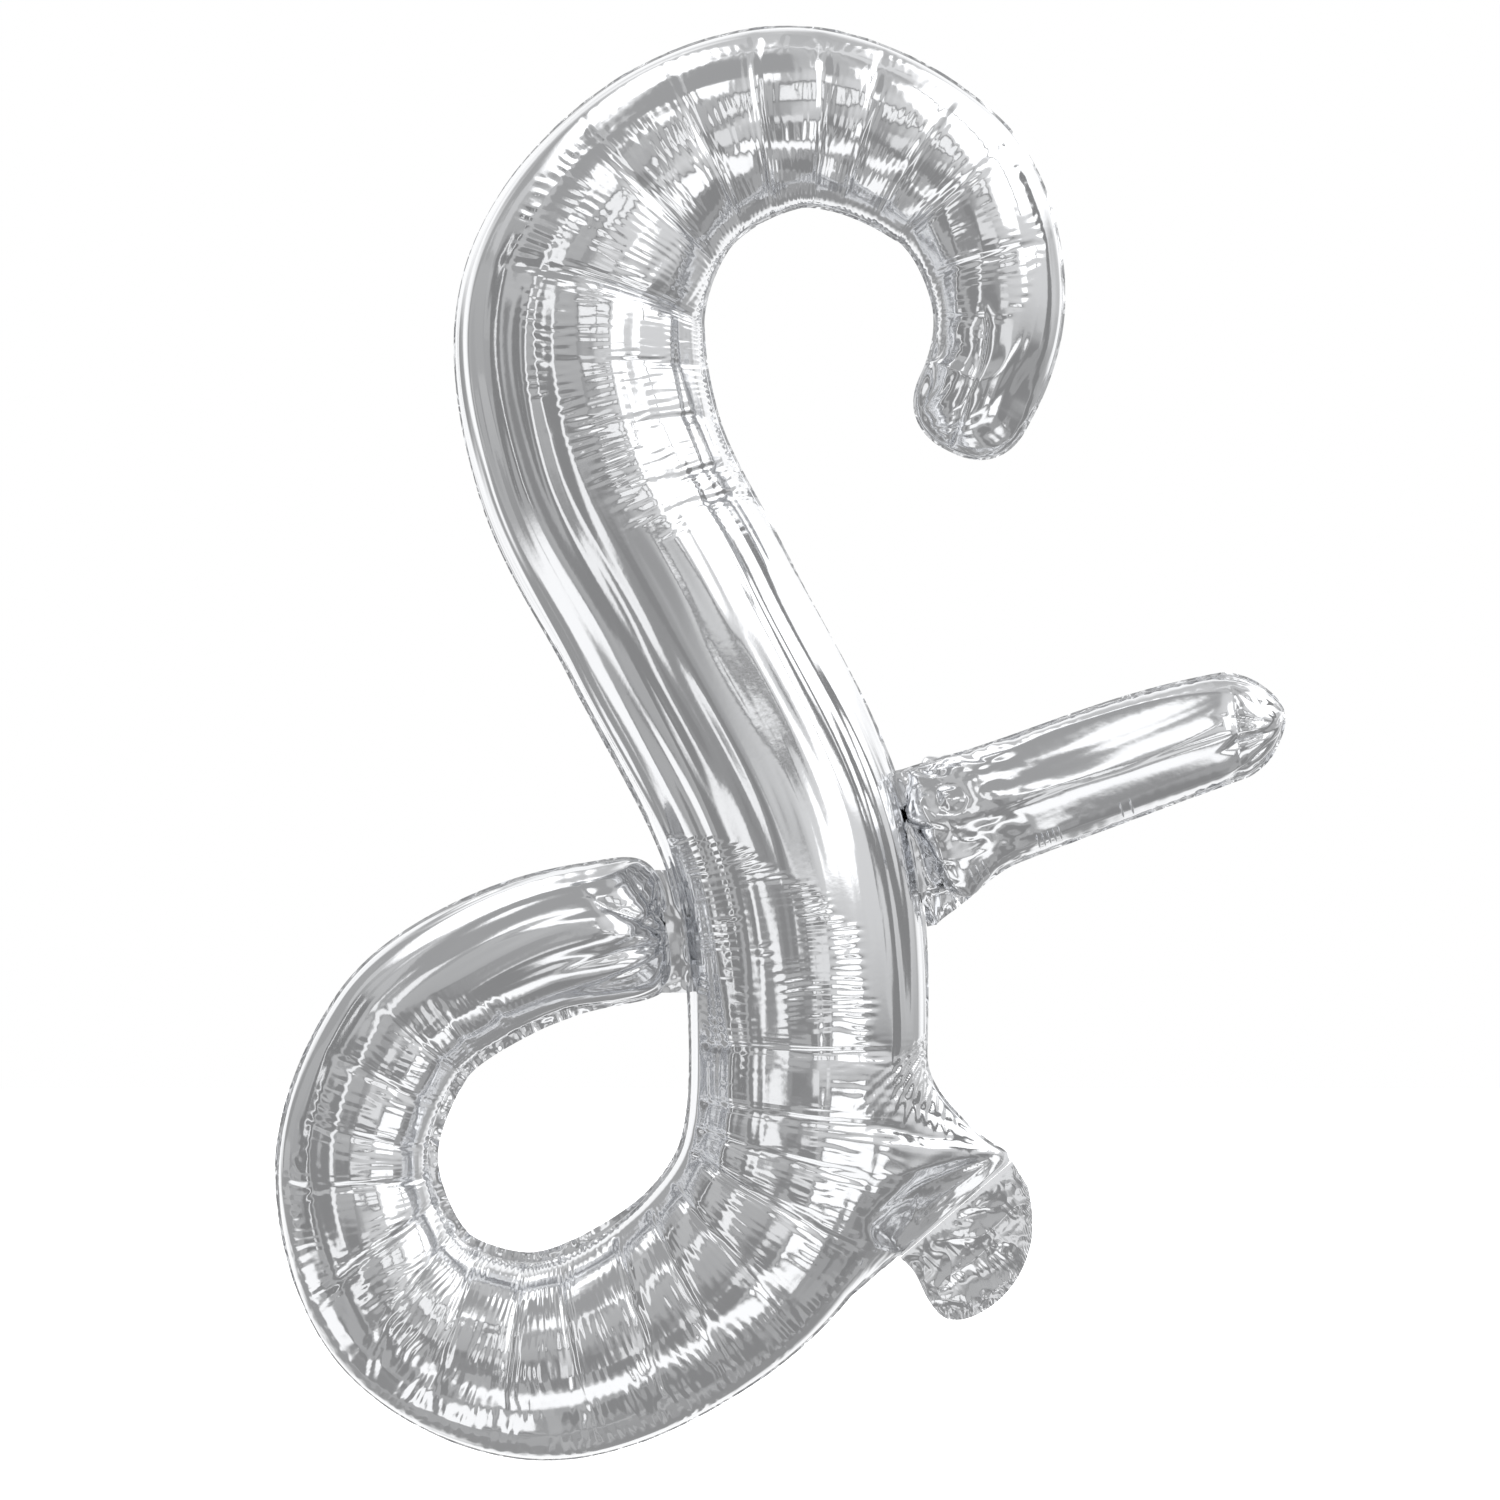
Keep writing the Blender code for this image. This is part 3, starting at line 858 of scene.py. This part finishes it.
# %% The two big skins
for side, toward, seed in (("front", -1, 100), ("back", 1, 200)):
    folds = stroke_height(seed)
    points = panel_points(stroke, toward, folds, (right_width, left_width), 11, (1, 1 - on_fold))
    x, z = points[:, :, 0], points[:, :, 2]
    past = (x - fold_end[0]) * fold_out[0] + (z - fold_end[1]) * fold_out[1] - WELD_WIDTH - FOLD_GAP
    beside = (x - fold_end[0]) * fold_along[0] + (z - fold_end[1]) * fold_along[1]
    on_pocket = ease(-8, 8, beside) * ease(0, 1, stroke.extra[1])[:, None]
    points[:, :, 1] *= 1 - 0.6 * on_pocket * ease(-62, -5, past)
    points[:, :, 1] += neck_field(x, z) * beside_fold(past) * on_pocket
    skin = sheet_object(f"{side}_film", points, toward)
    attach(skin, "balloon")
    declare(skin, f"{side}_panel")

# %% [markdown]
# ## The web at the loop's end
#
# The end of the loop is sealed to the side of the stroke by a flat web of film. It is a small grid between
# the two outlines, a little longer than the gap is wide, so it buckles into a few folds.

# %% The web
WEB_TOP, WEB_BOTTOM = -121, -238
WEB_GRID = (70, 40)
WEB_SPINE = (900, 1500)  # how far along the stroke its side of the web lies
WEB_END = 2478  # how far along the stroke the loop's end starts
WEB_GAP = 0.8  # how far each sheet stands off the weld's plane
level = np.linspace(WEB_TOP, WEB_BOTTOM, WEB_GRID[0])
beside = (stroke.at > WEB_SPINE[0]) & (stroke.at < WEB_SPINE[1])
spine_edge = (stroke.rows[:, :2] - stroke.left * stroke.rows[:, 2:3])[beside]
end_rows = stroke.at > WEB_END
end_edge = np.vstack(
    [(stroke.rows[:, :2] + s * stroke.left * stroke.rows[:, 2:3])[end_rows][::s] for s in (1, -1)]
)
end_edge = end_edge[np.argsort(end_edge[:, 1])]
spine_x = np.interp(level, spine_edge[::-1, 1], spine_edge[::-1, 0])
end_x = np.interp(level, end_edge[:, 1], end_edge[:, 0])
across = np.linspace(0, 1, WEB_GRID[1])
web_x = end_x[:, None] * (1 - across) + spine_x[:, None] * across
web_z = np.repeat(level[:, None], len(across), axis=1)
web_y = 4 * noise(web_x / 40, web_z / 25, 71) * np.sin(across * math.pi)
web_y += 0.6 * np.cos(web_z / 5 + 2 * noise(web_z / 20, across, 72)) * (0.3 + across * (1 - across))
for side, toward in (("front", -1), ("back", 1)):
    points = np.dstack((web_x, web_y + toward * WEB_GAP, web_z))
    skin = sheet_object(f"loop_web_{side}", points, -toward)
    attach(skin, "balloon")
print("the web is", round(float((spine_x - end_x).mean())), "mm wide")

# %% [markdown]
# ## The arm
#
# The arm is a second, smaller tube that grows out of the stroke's side. Its root is pinched nearly flat,
# and the film there has been crushed by folding: it is a mass of small facets. Further out one long fold
# runs along the crown with a smooth, flat facet above it, and the tip is drawn in to a few folds. Each
# facet along the arm has a middle and half a width, as shares of the way round, and a flatness, and may
# narrow in a bow to both its ends.

# %% The arm's tube and its folds
ARM_OVERLAP = 11.0  # how far the root runs in over the stroke's margin
ARM_FACETS = ((0.36, 0.38, 0.95, True), (-0.30, 0.26, 0.7, False), (-0.72, 0.15, 0.8, False))
ARM_TIP = (476, 16)
ARM_TIP_FOLDS = ((146, 2.5, 4.0), (170, 3.5, 3.0), (184, -2.0, 7.0), (198, 6.0, 3.5), (222, 5.0, 4.0))


def arm_tube():
    """The arm's tube, with a few more rows that run in under the stroke."""
    tube = Tube(ARM, None, ARM_CAP)
    ahead = np.array((tube.left[0, 1], -tube.left[0, 0]))
    steps = np.arange(round(ARM_OVERLAP / ALONG), 0, -1) * ALONG
    root = np.repeat(tube.rows[:1], len(steps), axis=0)
    root[:, :2] -= steps[:, None] * ahead
    tube.rows = np.vstack((root, tube.rows))
    tube.left = np.vstack((np.repeat(tube.left[:1], len(steps), axis=0), tube.left))
    tube.at = np.concatenate((-steps, tube.at))
    tube.extra = np.zeros((2, len(tube.rows)))
    return tube


def arm_height(seed):
    """The function that gives the height of one side's folds over the arm's grid."""

    def displace(tube, phi, girth, distance, plane):
        at = tube.at[:, None]
        up = phi[None, :] / (math.pi / 2)
        # The crushed root: facets in three sizes, which fade within a few centimetres.
        root = np.exp(-np.clip(at - 22, 0, None) / 34) * ease(-9, 8, at)
        height = root * 16 * (np.abs(noise(at / 44 + 0.3 * up + 0.5, girth / 38, seed)) * 1.6 - 0.3)
        height += root * 4.5 * (np.abs(noise(at / 21 + 0.5 * up, girth / 19, seed + 5)) * 2 - 0.6)
        height += root * 0.9 * (np.abs(noise(at / 8, girth / 8, seed + 6)) * 2 - 0.6)
        # The body: one long ridge with flattened facets above and below it, and faint streaks.
        ridge = up + 0.06 - 0.05 * noise(at / 70, 0.5, seed + 8)
        body = ease(45, 85, at) * ease(345, 325, at)
        bow = np.sin(np.clip((at - 48) / 285, 0, 1) * math.pi) ** 0.5
        for middle, half, flatness, bowed in ARM_FACETS:
            turn, span = (ridge - middle) * math.pi / 2, half * (bow if bowed else 1) * math.pi / 2
            cut = np.clip(np.cos(turn) - np.cos(span), 0, None)
            height -= body * flatness * tube.rows[:, 3, None] * cut
        height -= 1.2 * body * np.exp(-np.abs(ridge + 0.02) / 0.03)
        height += 0.35 * noise(at / 150, girth / 18, seed + 9) + 0.12 * noise(at / 90, girth / 7, seed + 10)
        # The tip: a fan of folds, one fold across it, and a few more that run in to its end.
        tip = ease(300, 350, at)
        star = np.cos(up * 11 + 0.6 * noise(at / 20, up * 3, seed + 12))
        spread = fan(plane[:, :, 0], plane[:, :, 1], ARM_TIP, ARM_TIP_FOLDS, 88, seed + 13)
        height -= 0.9 * spread * ease(280, 310, at)
        cross = np.exp(-np.abs(at - 318 - 10 * up) / 9)
        height -= 5.0 * ease(285, 318, at) * cross * (0.6 + 0.4 * np.cos(up * 5))
        height -= tip * 2.0 * (0.5 - 0.5 * star) ** 2
        seam = along_seams(phi, plane)
        height += 2.2 * pucker(seam, distance, 15, 15, seed + 14) * ease(20, 60, at)
        return height

    return displace


arm = arm_tube()
print("the arm has", len(arm.rows), "rows")

# %% [markdown]
# ## The arm's skins
#
# The root rows lie over the stroke's margin. Below the root the flat edge widens to a small web.

# %% The arm's skins
ARM_WEB = 30.0
ARM_WEB_LENGTH = 80.0
arm_web = WELD_WIDTH - PUFF + ARM_WEB * np.maximum(0, 1 - np.clip(arm.at, 0, None) / ARM_WEB_LENGTH) ** 2
arm_edge = np.full(len(arm.rows), WELD_WIDTH - PUFF)
arm_sides = []
for side, toward, seed in (("front", -1, 300), ("back", 1, 400)):
    points = panel_points(arm, toward, arm_height(seed), (arm_web, arm_edge), 33, (1.4, 1.6))
    points[:, :, 1] += toward * 0.5 * ease(6, -4, arm.at)[:, None]
    arm_sides.append(points)
    skin = sheet_object(f"arm_{side}_film", points, toward)
    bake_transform(skin)
    declare(skin, f"arm_{side}_panel")

# %% [markdown]
# ## Sealing ribs
#
# Below the arm the hot bar that sealed the film has left a few short rows of small ribs, a little way up the
# tube from the weld. They stand at an even spacing along a path, which is work for Geometry Nodes: a line
# over the film becomes a curve, the curve is resampled at the spacing, and a small stretched ball is set on
# each point, half sunk in the film. Its width is turned along the curve, and its length lies across it, in a
# direction that each point of the line carries with it. The sizes are inputs of the tree.

# %% Sealing ribs
RIB_ROWS = ((36, 50), (102, 127), (188, 200))  # how far along the arm each row starts and ends
RIB_SIZES = {"Spacing": 5.2, "Width": 3.2, "Height": 4.6, "Length": 20.0}
RIB_FROM_WELD = 27.0
BALL = {"Segments": 12, "Rings": 8, "Radius": 0.5}


def ribs_tree():
    """A Geometry Nodes tree that sets ribs across the lines it is given."""
    tree = bpy.data.node_groups.new("sealing ribs", "GeometryNodeTree")
    tree.interface.new_socket("Lines", in_out="INPUT", socket_type="NodeSocketGeometry")
    for name in RIB_SIZES:
        tree.interface.new_socket(name, in_out="INPUT", socket_type="NodeSocketFloat")
    tree.interface.new_socket("Ribs", in_out="OUTPUT", socket_type="NodeSocketGeometry")
    sizes = add_node(tree, "NodeGroupInput")
    line = add_node(tree, "GeometryNodeMeshToCurve", links={"Mesh": (sizes, "Lines")})
    marks = add_node(
        tree,
        "GeometryNodeResampleCurve",
        links={"Curve": (line, "Curve"), "Length": (sizes, "Spacing")},
        mode="LENGTH",
    )
    ball = add_node(tree, "GeometryNodeMeshUVSphere", inputs=BALL)
    along = add_node(tree, "GeometryNodeInputTangent")
    turned = add_node(
        tree, "FunctionNodeAlignRotationToVector", links={"Vector": (along, "Tangent")}, axis="X"
    )
    across = add_node(
        tree, "GeometryNodeInputNamedAttribute", inputs={"Name": "across"}, data_type="FLOAT_VECTOR"
    )
    laid = add_node(
        tree,
        "FunctionNodeAlignRotationToVector",
        links={"Rotation": (turned, "Rotation"), "Vector": (across, "Attribute")},
        axis="Z",
        pivot_axis="X",
    )
    scale = add_node(
        tree,
        "ShaderNodeCombineXYZ",
        links={"X": (sizes, "Width"), "Y": (sizes, "Height"), "Z": (sizes, "Length")},
    )
    ribs = add_node(
        tree,
        "GeometryNodeInstanceOnPoints",
        links={
            "Points": (marks, "Curve"),
            "Instance": (ball, "Mesh"),
            "Rotation": (laid, "Rotation"),
            "Scale": (scale, "Vector"),
        },
    )
    whole = add_node(tree, "GeometryNodeRealizeInstances", links={"Geometry": (ribs, "Instances")})
    coat = add_node(
        tree, "GeometryNodeSetMaterial", links={"Geometry": (whole, "Geometry")}, inputs={"Material": film}
    )
    add_node(tree, "NodeGroupOutput", links={"Ribs": (coat, "Geometry")})
    return tree


rib_tree = ribs_tree()
print("the tree has", len(rib_tree.nodes), "nodes")

# %% [markdown]
# ## The lines that the ribs follow
#
# Each line is read off the arm's own grid, a fixed distance up the film from the weld, so the ribs lie on
# its folds. The direction across the line is stored with each point.

# %% The lines that the ribs follow
places, edges, across = [], [], []
for points in arm_sides:
    steps = np.linalg.norm(np.diff(points[:, MARGIN:], axis=1), axis=2).mean(axis=0)
    column = MARGIN + int(np.searchsorted(np.cumsum(steps), RIB_FROM_WELD))
    for first, last in RIB_ROWS:
        row = points[(arm.at >= first) & (arm.at <= last)]
        edges += [(len(places) + i, len(places) + i + 1) for i in range(len(row) - 1)]
        places += [tuple(place * MM + origin) for place in row[:, column]]
        across += list(unit(row[:, column + 3] - row[:, column - 3]))
lines = bpy.data.meshes.new("weld lines")
lines.from_pydata(places, edges, [])
carried = lines.attributes.new("across", "FLOAT_VECTOR", "POINT")
carried.data.foreach_set("vector", np.array(across, np.float32).ravel())
drawn_lines = link_object("weld lines", lines)
maker = drawn_lines.modifiers.new("ribs", "NODES")
maker.node_group = rib_tree
for item in rib_tree.interface.items_tree:
    if item.in_out == "INPUT" and item.name in RIB_SIZES:
        maker[item.identifier] = RIB_SIZES[item.name] * MM
evaluated = drawn_lines.evaluated_get(bpy.context.evaluated_depsgraph_get())
ribs_mesh = bpy.data.meshes.new_from_object(evaluated)
ribs_mesh.shade_smooth()
bpy.data.objects.remove(drawn_lines)
ribs = link_object("arm_seal_ribs", ribs_mesh)
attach(ribs, "arm")
print(len(ribs_mesh.polygons) // (BALL["Segments"] * BALL["Rings"]), "ribs")

# %% [markdown]
# ## The filling neck
#
# The neck is only two flat sheets, and hands have crumpled them. Each is a grid ruled from the fold line to
# the rounded free edge. Both sheets share the same facets, a hair apart, so that they lie together and
# still can be parted to put a straw in. The back sheet is one with the balloon behind the fold, and the
# front one starts at the fold itself, which is the mouth's hinge.

# %% The filling neck
NECK_STEP = 1.2
NECK_COLUMNS = 90  # from the fold to the free edge
NECK_SCALLOPS = 75  # the tiny waves along its edge
NECK_RIM = 7.0  # how far they run in


def neck_points(toward):
    """Points of one of the neck's sheets, in millimetres."""
    curve, _ = even_spline(NECK[::-1], NECK_STEP)
    share = np.linspace(0, 1, len(curve))[:, None]
    root = WELD_WIDTH + FOLD_GAP
    low = fold_end + fold_out * (root + HINGE_SHY) + (fold_point - fold_end) * share
    down = np.linspace(0, 1, NECK_COLUMNS)
    flat = low[:, None, :] * (1 - down[None, :, None]) + curve[:, None, :] * down[None, :, None]
    x, z = flat[:, :, 0], flat[:, :, 1]
    depth = np.linalg.norm(flat - low[:, None, :], axis=2)
    y = neck_field(x, z) * beside_fold(depth)
    rim = np.minimum(np.minimum(share, 1 - share) * 300, (1 - down) * depth[:, -1:])
    wave = np.cos((share * NECK_SCALLOPS + 1.5 * noise(x / 9, z / 9, 55)) * 2 * math.pi)
    y += 0.5 * wave * np.exp(-rim / NECK_RIM) * ease(0, FOLD_FADE, depth)
    return np.dstack((x, y + toward * SHEET_GAP, z))


for side, toward in (("front", -1), ("back", 1)):
    skin = sheet_object(f"neck_{side}_film", neck_points(toward), -toward)
    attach(skin, "neck_lip" if side == "front" else "neck")
    declare(skin, f"neck_{side}_panel")

# %% [markdown]
# ## The valve
#
# Inside the pocket two thin clear films make the self-sealing valve. They keep their CAD shape, since they
# are flat and hidden, and only get a material: blown polyethylene film. It is smooth but not glossy, and
# its cloudiness comes and goes over a centimetre or so.

# %% The valve's film
CLOUD_SIZE = 12.0
CLOUD_ROUGHNESS = (0.15, 0.35)


def clear_film():
    """Soft, slightly cloudy plastic film."""
    made, tree, out = new_material("clear plastic film")
    place = add_node(tree, "ShaderNodeTexCoord")
    cloud = add_node(
        tree,
        "ShaderNodeTexNoise",
        links={"Vector": (place, "Object")},
        inputs={"Scale": per_metre(CLOUD_SIZE)},
    )
    rough = add_node(
        tree,
        "ShaderNodeMapRange",
        links={"Value": (cloud, "Fac")},
        inputs=between(NOISE_MIDDLE, CLOUD_ROUGHNESS),
    )
    shader = add_node(
        tree,
        "ShaderNodeBsdfPrincipled",
        links={"Roughness": (rough, "Result")},
        inputs={"Base Color": colour("#D5DCE2"), "IOR": 1.5},
    )
    tree.links.new(shader.outputs["BSDF"], out.inputs["Surface"])
    return made


valve_film = clear_film()
for name in ("valve_front_film", "valve_back_film"):
    tongue = bpy.data.objects[name]
    tongue.data.materials.clear()
    tongue.data.materials.append(valve_film)
print("the valve is", valve_film.name)

# %% [markdown]
# ## The studio
#
# A mirror shows its surroundings, so the light is the picture. The world is a plain room with a few softly
# edged grey, bright and dark areas in it, windows and the gaps between them, drawn on the direction a ray
# leaves in. Under them lie a grey that gets lighter towards the ceiling, a faint pattern of large cells for
# all that stands in a room, and a bright backdrop behind the balloon. The camera itself sees only white.

# %% The studio's plan
# Each light or dark area: its direction (degrees round from the camera towards +X, and degrees up), half
# its width and height, how soft its edge is, all in degrees, and how bright it is.
AREAS = (
    (62, 24, 52, 30, 14, 0.80),
    (66, 38, 30, 22, 3, 1.75),
    (66, 38, 1.6, 22, 0.6, 0.34),
    (44, 10, 9, 7, 1.5, 1.6),
    (-112, 62, 44, 16, 4, 1.6),
    (-12, 41, 13, 6, 1.5, 1.35),
    (-24, 63, 38, 15, 4, 0.42),
    (122, 40, 28, 22, 4, 1.50),
    (14, 22, 15, 11, 1, 0.26),
    (14, 22, 12.5, 8.5, 1, 1.1),
    (14, 22, 1.2, 8.5, 0.5, 0.30),
    (-34, 8, 5, 26, 1.5, 1.1),
    (-74, 8, 12, 24, 2, 0.27),
    (-74, 8, 1.5, 24, 0.5, 1.1),
    (-48, -14, 7, 30, 1.5, 0.30),
    (38, -20, 17.5, 11, 1, 0.28),
    (38, -20, 15, 8.5, 1, 1.3),
    (96, -6, 7, 40, 2, 0.28),
    (8, -40, 40, 7, 3, 1.25),
    (-14, -8, 7, 5, 1, 0.30),
    (9, -8, 9, 6, 2, 0.90),
    (-95, -30, 18, 10, 3, 1.2),
    (60, -62, 50, 6, 2, 0.30),
    (-60, -64, 40, 9, 2, 1.2),
    (150, -50, 30, 10, 3, 0.34),
    (172, 12, 6, 12, 2, 0.36),
    (-168, 2, 9, 7, 2, 0.34),
    (166, -14, 9, 5, 2, 0.42),
    (-172, 20, 8, 5, 2, 0.45),
)
SKY = ((-90, 0.46), (-45, 0.40), (-12, 0.43), (0, 0.49), (25, 0.54), (50, 0.62), (90, 0.74))
ROOM_CELLS = 2.6  # to each radian
ROOM_CONTRAST = (0.64, 1.34)
BACKDROP = 1.15
BACKDROP_EDGE = (0.58, 0.80)  # how much of a direction points backwards where the backdrop starts and is full
print(len(AREAS), "areas in the studio")

# %% [markdown]
# ## The world's nodes
#
# An area is where the direction's turn and rise are both within a range. So there is a helper for a Math
# node, one for such a range, and a loop that lays one area after another over what is there.

# %% The world's nodes


def math_node(tree, operation, first, second=0.0):
    """A Math node. Each of its two values is a number or a node's first output."""
    made = add_node(tree, "ShaderNodeMath", operation=operation)
    for socket, value in zip(made.inputs, (first, second)):
        if isinstance(value, (int, float)):
            socket.default_value = value
        else:
            tree.links.new(value if isinstance(value, bpy.types.NodeSocket) else value.outputs[0], socket)
    return made


def within(tree, angle, middle, half, soft):
    """1 where an angle in radians is within half of middle, with a soft edge. Those are in degrees."""
    away = math_node(tree, "ABSOLUTE", math_node(tree, "SUBTRACT", angle, math.radians(middle)))
    return add_node(
        tree,
        "ShaderNodeMapRange",
        links={"Value": (away, "Value")},
        inputs={"From Min": math.radians(half + soft), "From Max": math.radians(half - soft)},
        interpolation_type="SMOOTHSTEP",
    )


def studio():
    """Gives the scene a world whose colour depends only on the direction."""
    world = bpy.data.worlds.new("studio")
    bpy.context.scene.world = world
    world.use_nodes = True
    tree = world.node_tree
    tree.nodes.clear()
    ray = add_node(tree, "ShaderNodeTexCoord")
    part = add_node(tree, "ShaderNodeSeparateXYZ", links={"Vector": (ray, "Generated")})
    x, y, z = part.outputs
    turn = math_node(tree, "ARCTAN2", x, math_node(tree, "MULTIPLY", y, -1.0))
    rise = math_node(tree, "ARCSINE", z)
    up = add_node(
        tree,
        "ShaderNodeMapRange",
        links={"Value": (rise, "Value")},
        inputs=between((-math.pi / 2, math.pi / 2), (0, 1)),
    )
    ramp = add_node(tree, "ShaderNodeValToRGB", links={"Fac": (up, "Result")})
    ramp.color_ramp.interpolation = "B_SPLINE"
    stops = ramp.color_ramp.elements
    while len(stops) < len(SKY):
        stops.new(0.5)
    for stop, (angle, grey) in zip(stops, SKY):
        stop.position = (angle + 90) / 180
        stop.color = (grey, grey, grey, 1)
    behind = add_node(
        tree,
        "ShaderNodeMapRange",
        links={"Value": (part, "Y")},
        inputs=between(BACKDROP_EDGE, (0, 1)),
        interpolation_type="SMOOTHSTEP",
    )
    flat = add_node(tree, "ShaderNodeCombineXYZ", links={"X": (turn, "Value"), "Y": (rise, "Value")})
    cells = add_node(
        tree,
        "ShaderNodeTexVoronoi",
        links={"Vector": (flat, "Vector")},
        inputs={"Scale": ROOM_CELLS, "Randomness": 0.8},
        distance="CHEBYCHEV",
    )
    shade = add_node(
        tree,
        "ShaderNodeMapRange",
        links={"Value": (cells, "Color")},
        inputs=between((0, 1), ROOM_CONTRAST),
    )
    room = math_node(tree, "MULTIPLY", ramp, shade)
    bright = add_node(
        tree,
        "ShaderNodeMix",
        links={"Factor": (behind, "Result"), "A": (room, "Value")},
        inputs={"B": BACKDROP},
    )
    for middle, height, half_width, half_height, soft, value in AREAS:
        wide = within(tree, turn, middle, half_width, soft)
        tall = within(tree, rise, height, half_height, soft)
        cover = math_node(tree, "MULTIPLY", wide, tall)
        bright = add_node(
            tree,
            "ShaderNodeMix",
            links={"Factor": (cover, "Value"), "A": (bright, 0)},
            inputs={"B": value},
        )
    shown = add_node(tree, "ShaderNodeBackground", links={"Color": (bright, 0)})
    plain = add_node(tree, "ShaderNodeBackground", inputs={"Color": (1, 1, 1, 1), "Strength": 1.0})
    path = add_node(tree, "ShaderNodeLightPath")
    mix = add_node(tree, "ShaderNodeMixShader", links={"Fac": (path, "Is Camera Ray")})
    tree.links.new(shown.outputs[0], mix.inputs[1])
    tree.links.new(plain.outputs[0], mix.inputs[2])
    add_node(tree, "ShaderNodeOutputWorld", links={"Surface": (mix, "Shader")})


studio()
bpy.context.scene.view_settings.view_transform = "Standard"
print("the world has", len(bpy.context.scene.world.node_tree.nodes), "nodes")

# %% [markdown]
# ## The floor
#
# The balloon hangs just above a matt white floor. To the camera the floor also glows a little, so that it
# runs into the white behind it without a line, and it is left out of the film's reflections, which the
# world gives alone.

# %% The floor
FLOOR_SIZE = 8.0
FLOOR_DROP = 0.03
FLOOR_GLOW = 0.9
ground = bpy.data.meshes.new("floor")
corners = [(x * FLOOR_SIZE / 2, y * FLOOR_SIZE / 2, 0) for x, y in ((-1, -1), (1, -1), (1, 1), (-1, 1))]
ground.from_pydata(corners, [], [(0, 1, 2, 3)])
floor = link_object("floor", ground)
floor.location.z = cad_low[2] - FLOOR_DROP
paint, paint_tree, paint_out = new_material("white studio floor")
matt = add_node(paint_tree, "ShaderNodeBsdfDiffuse", inputs={"Color": colour("#E6E6E6")})
lit = add_node(paint_tree, "ShaderNodeEmission", inputs={"Strength": FLOOR_GLOW})
seen = add_node(paint_tree, "ShaderNodeLightPath")
both = add_node(paint_tree, "ShaderNodeAddShader")
paint_tree.links.new(matt.outputs[0], both.inputs[0])
paint_tree.links.new(lit.outputs[0], both.inputs[1])
top_up = add_node(paint_tree, "ShaderNodeMixShader", links={"Fac": (seen, "Is Camera Ray")})
paint_tree.links.new(matt.outputs[0], top_up.inputs[1])
paint_tree.links.new(both.outputs[0], top_up.inputs[2])
paint_tree.links.new(top_up.outputs[0], paint_out.inputs["Surface"])
ground.materials.append(paint)
floor.visible_glossy = False
floor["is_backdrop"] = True
print("the floor lies", round(FLOOR_DROP / MM), "mm below the balloon")

# %% [markdown]
# ## The camera
#
# The camera looks straight at the front from about 3.4 metres, through a long lens, so the tube's two sides
# are seen almost alike. Its distance follows from how wide a view the picture has to take in.

# %% The camera
LENS = 85.0
VIEW_WIDTH = 1.4325
VIEW_MIDDLE = (-0.0304, -0.0067)
camera_data = bpy.data.cameras.new("camera")
camera_data.lens = LENS
camera = link_object("camera", camera_data)
camera.location = (VIEW_MIDDLE[0], -VIEW_WIDTH * LENS / camera_data.sensor_width, VIEW_MIDDLE[1])
camera.rotation_euler = (math.pi / 2, 0, 0)
bpy.context.scene.camera = camera
print("the camera is", round(-camera.location.y, 2), "m away")

# %% [markdown]
# ## Measure and finish
#
# Last, the visual model's box is measured and printed.

# %% Measure and finish
low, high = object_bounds()
print("the visual model's box is", [round((b - a) / MM) for a, b in zip(low, high)], "mm")
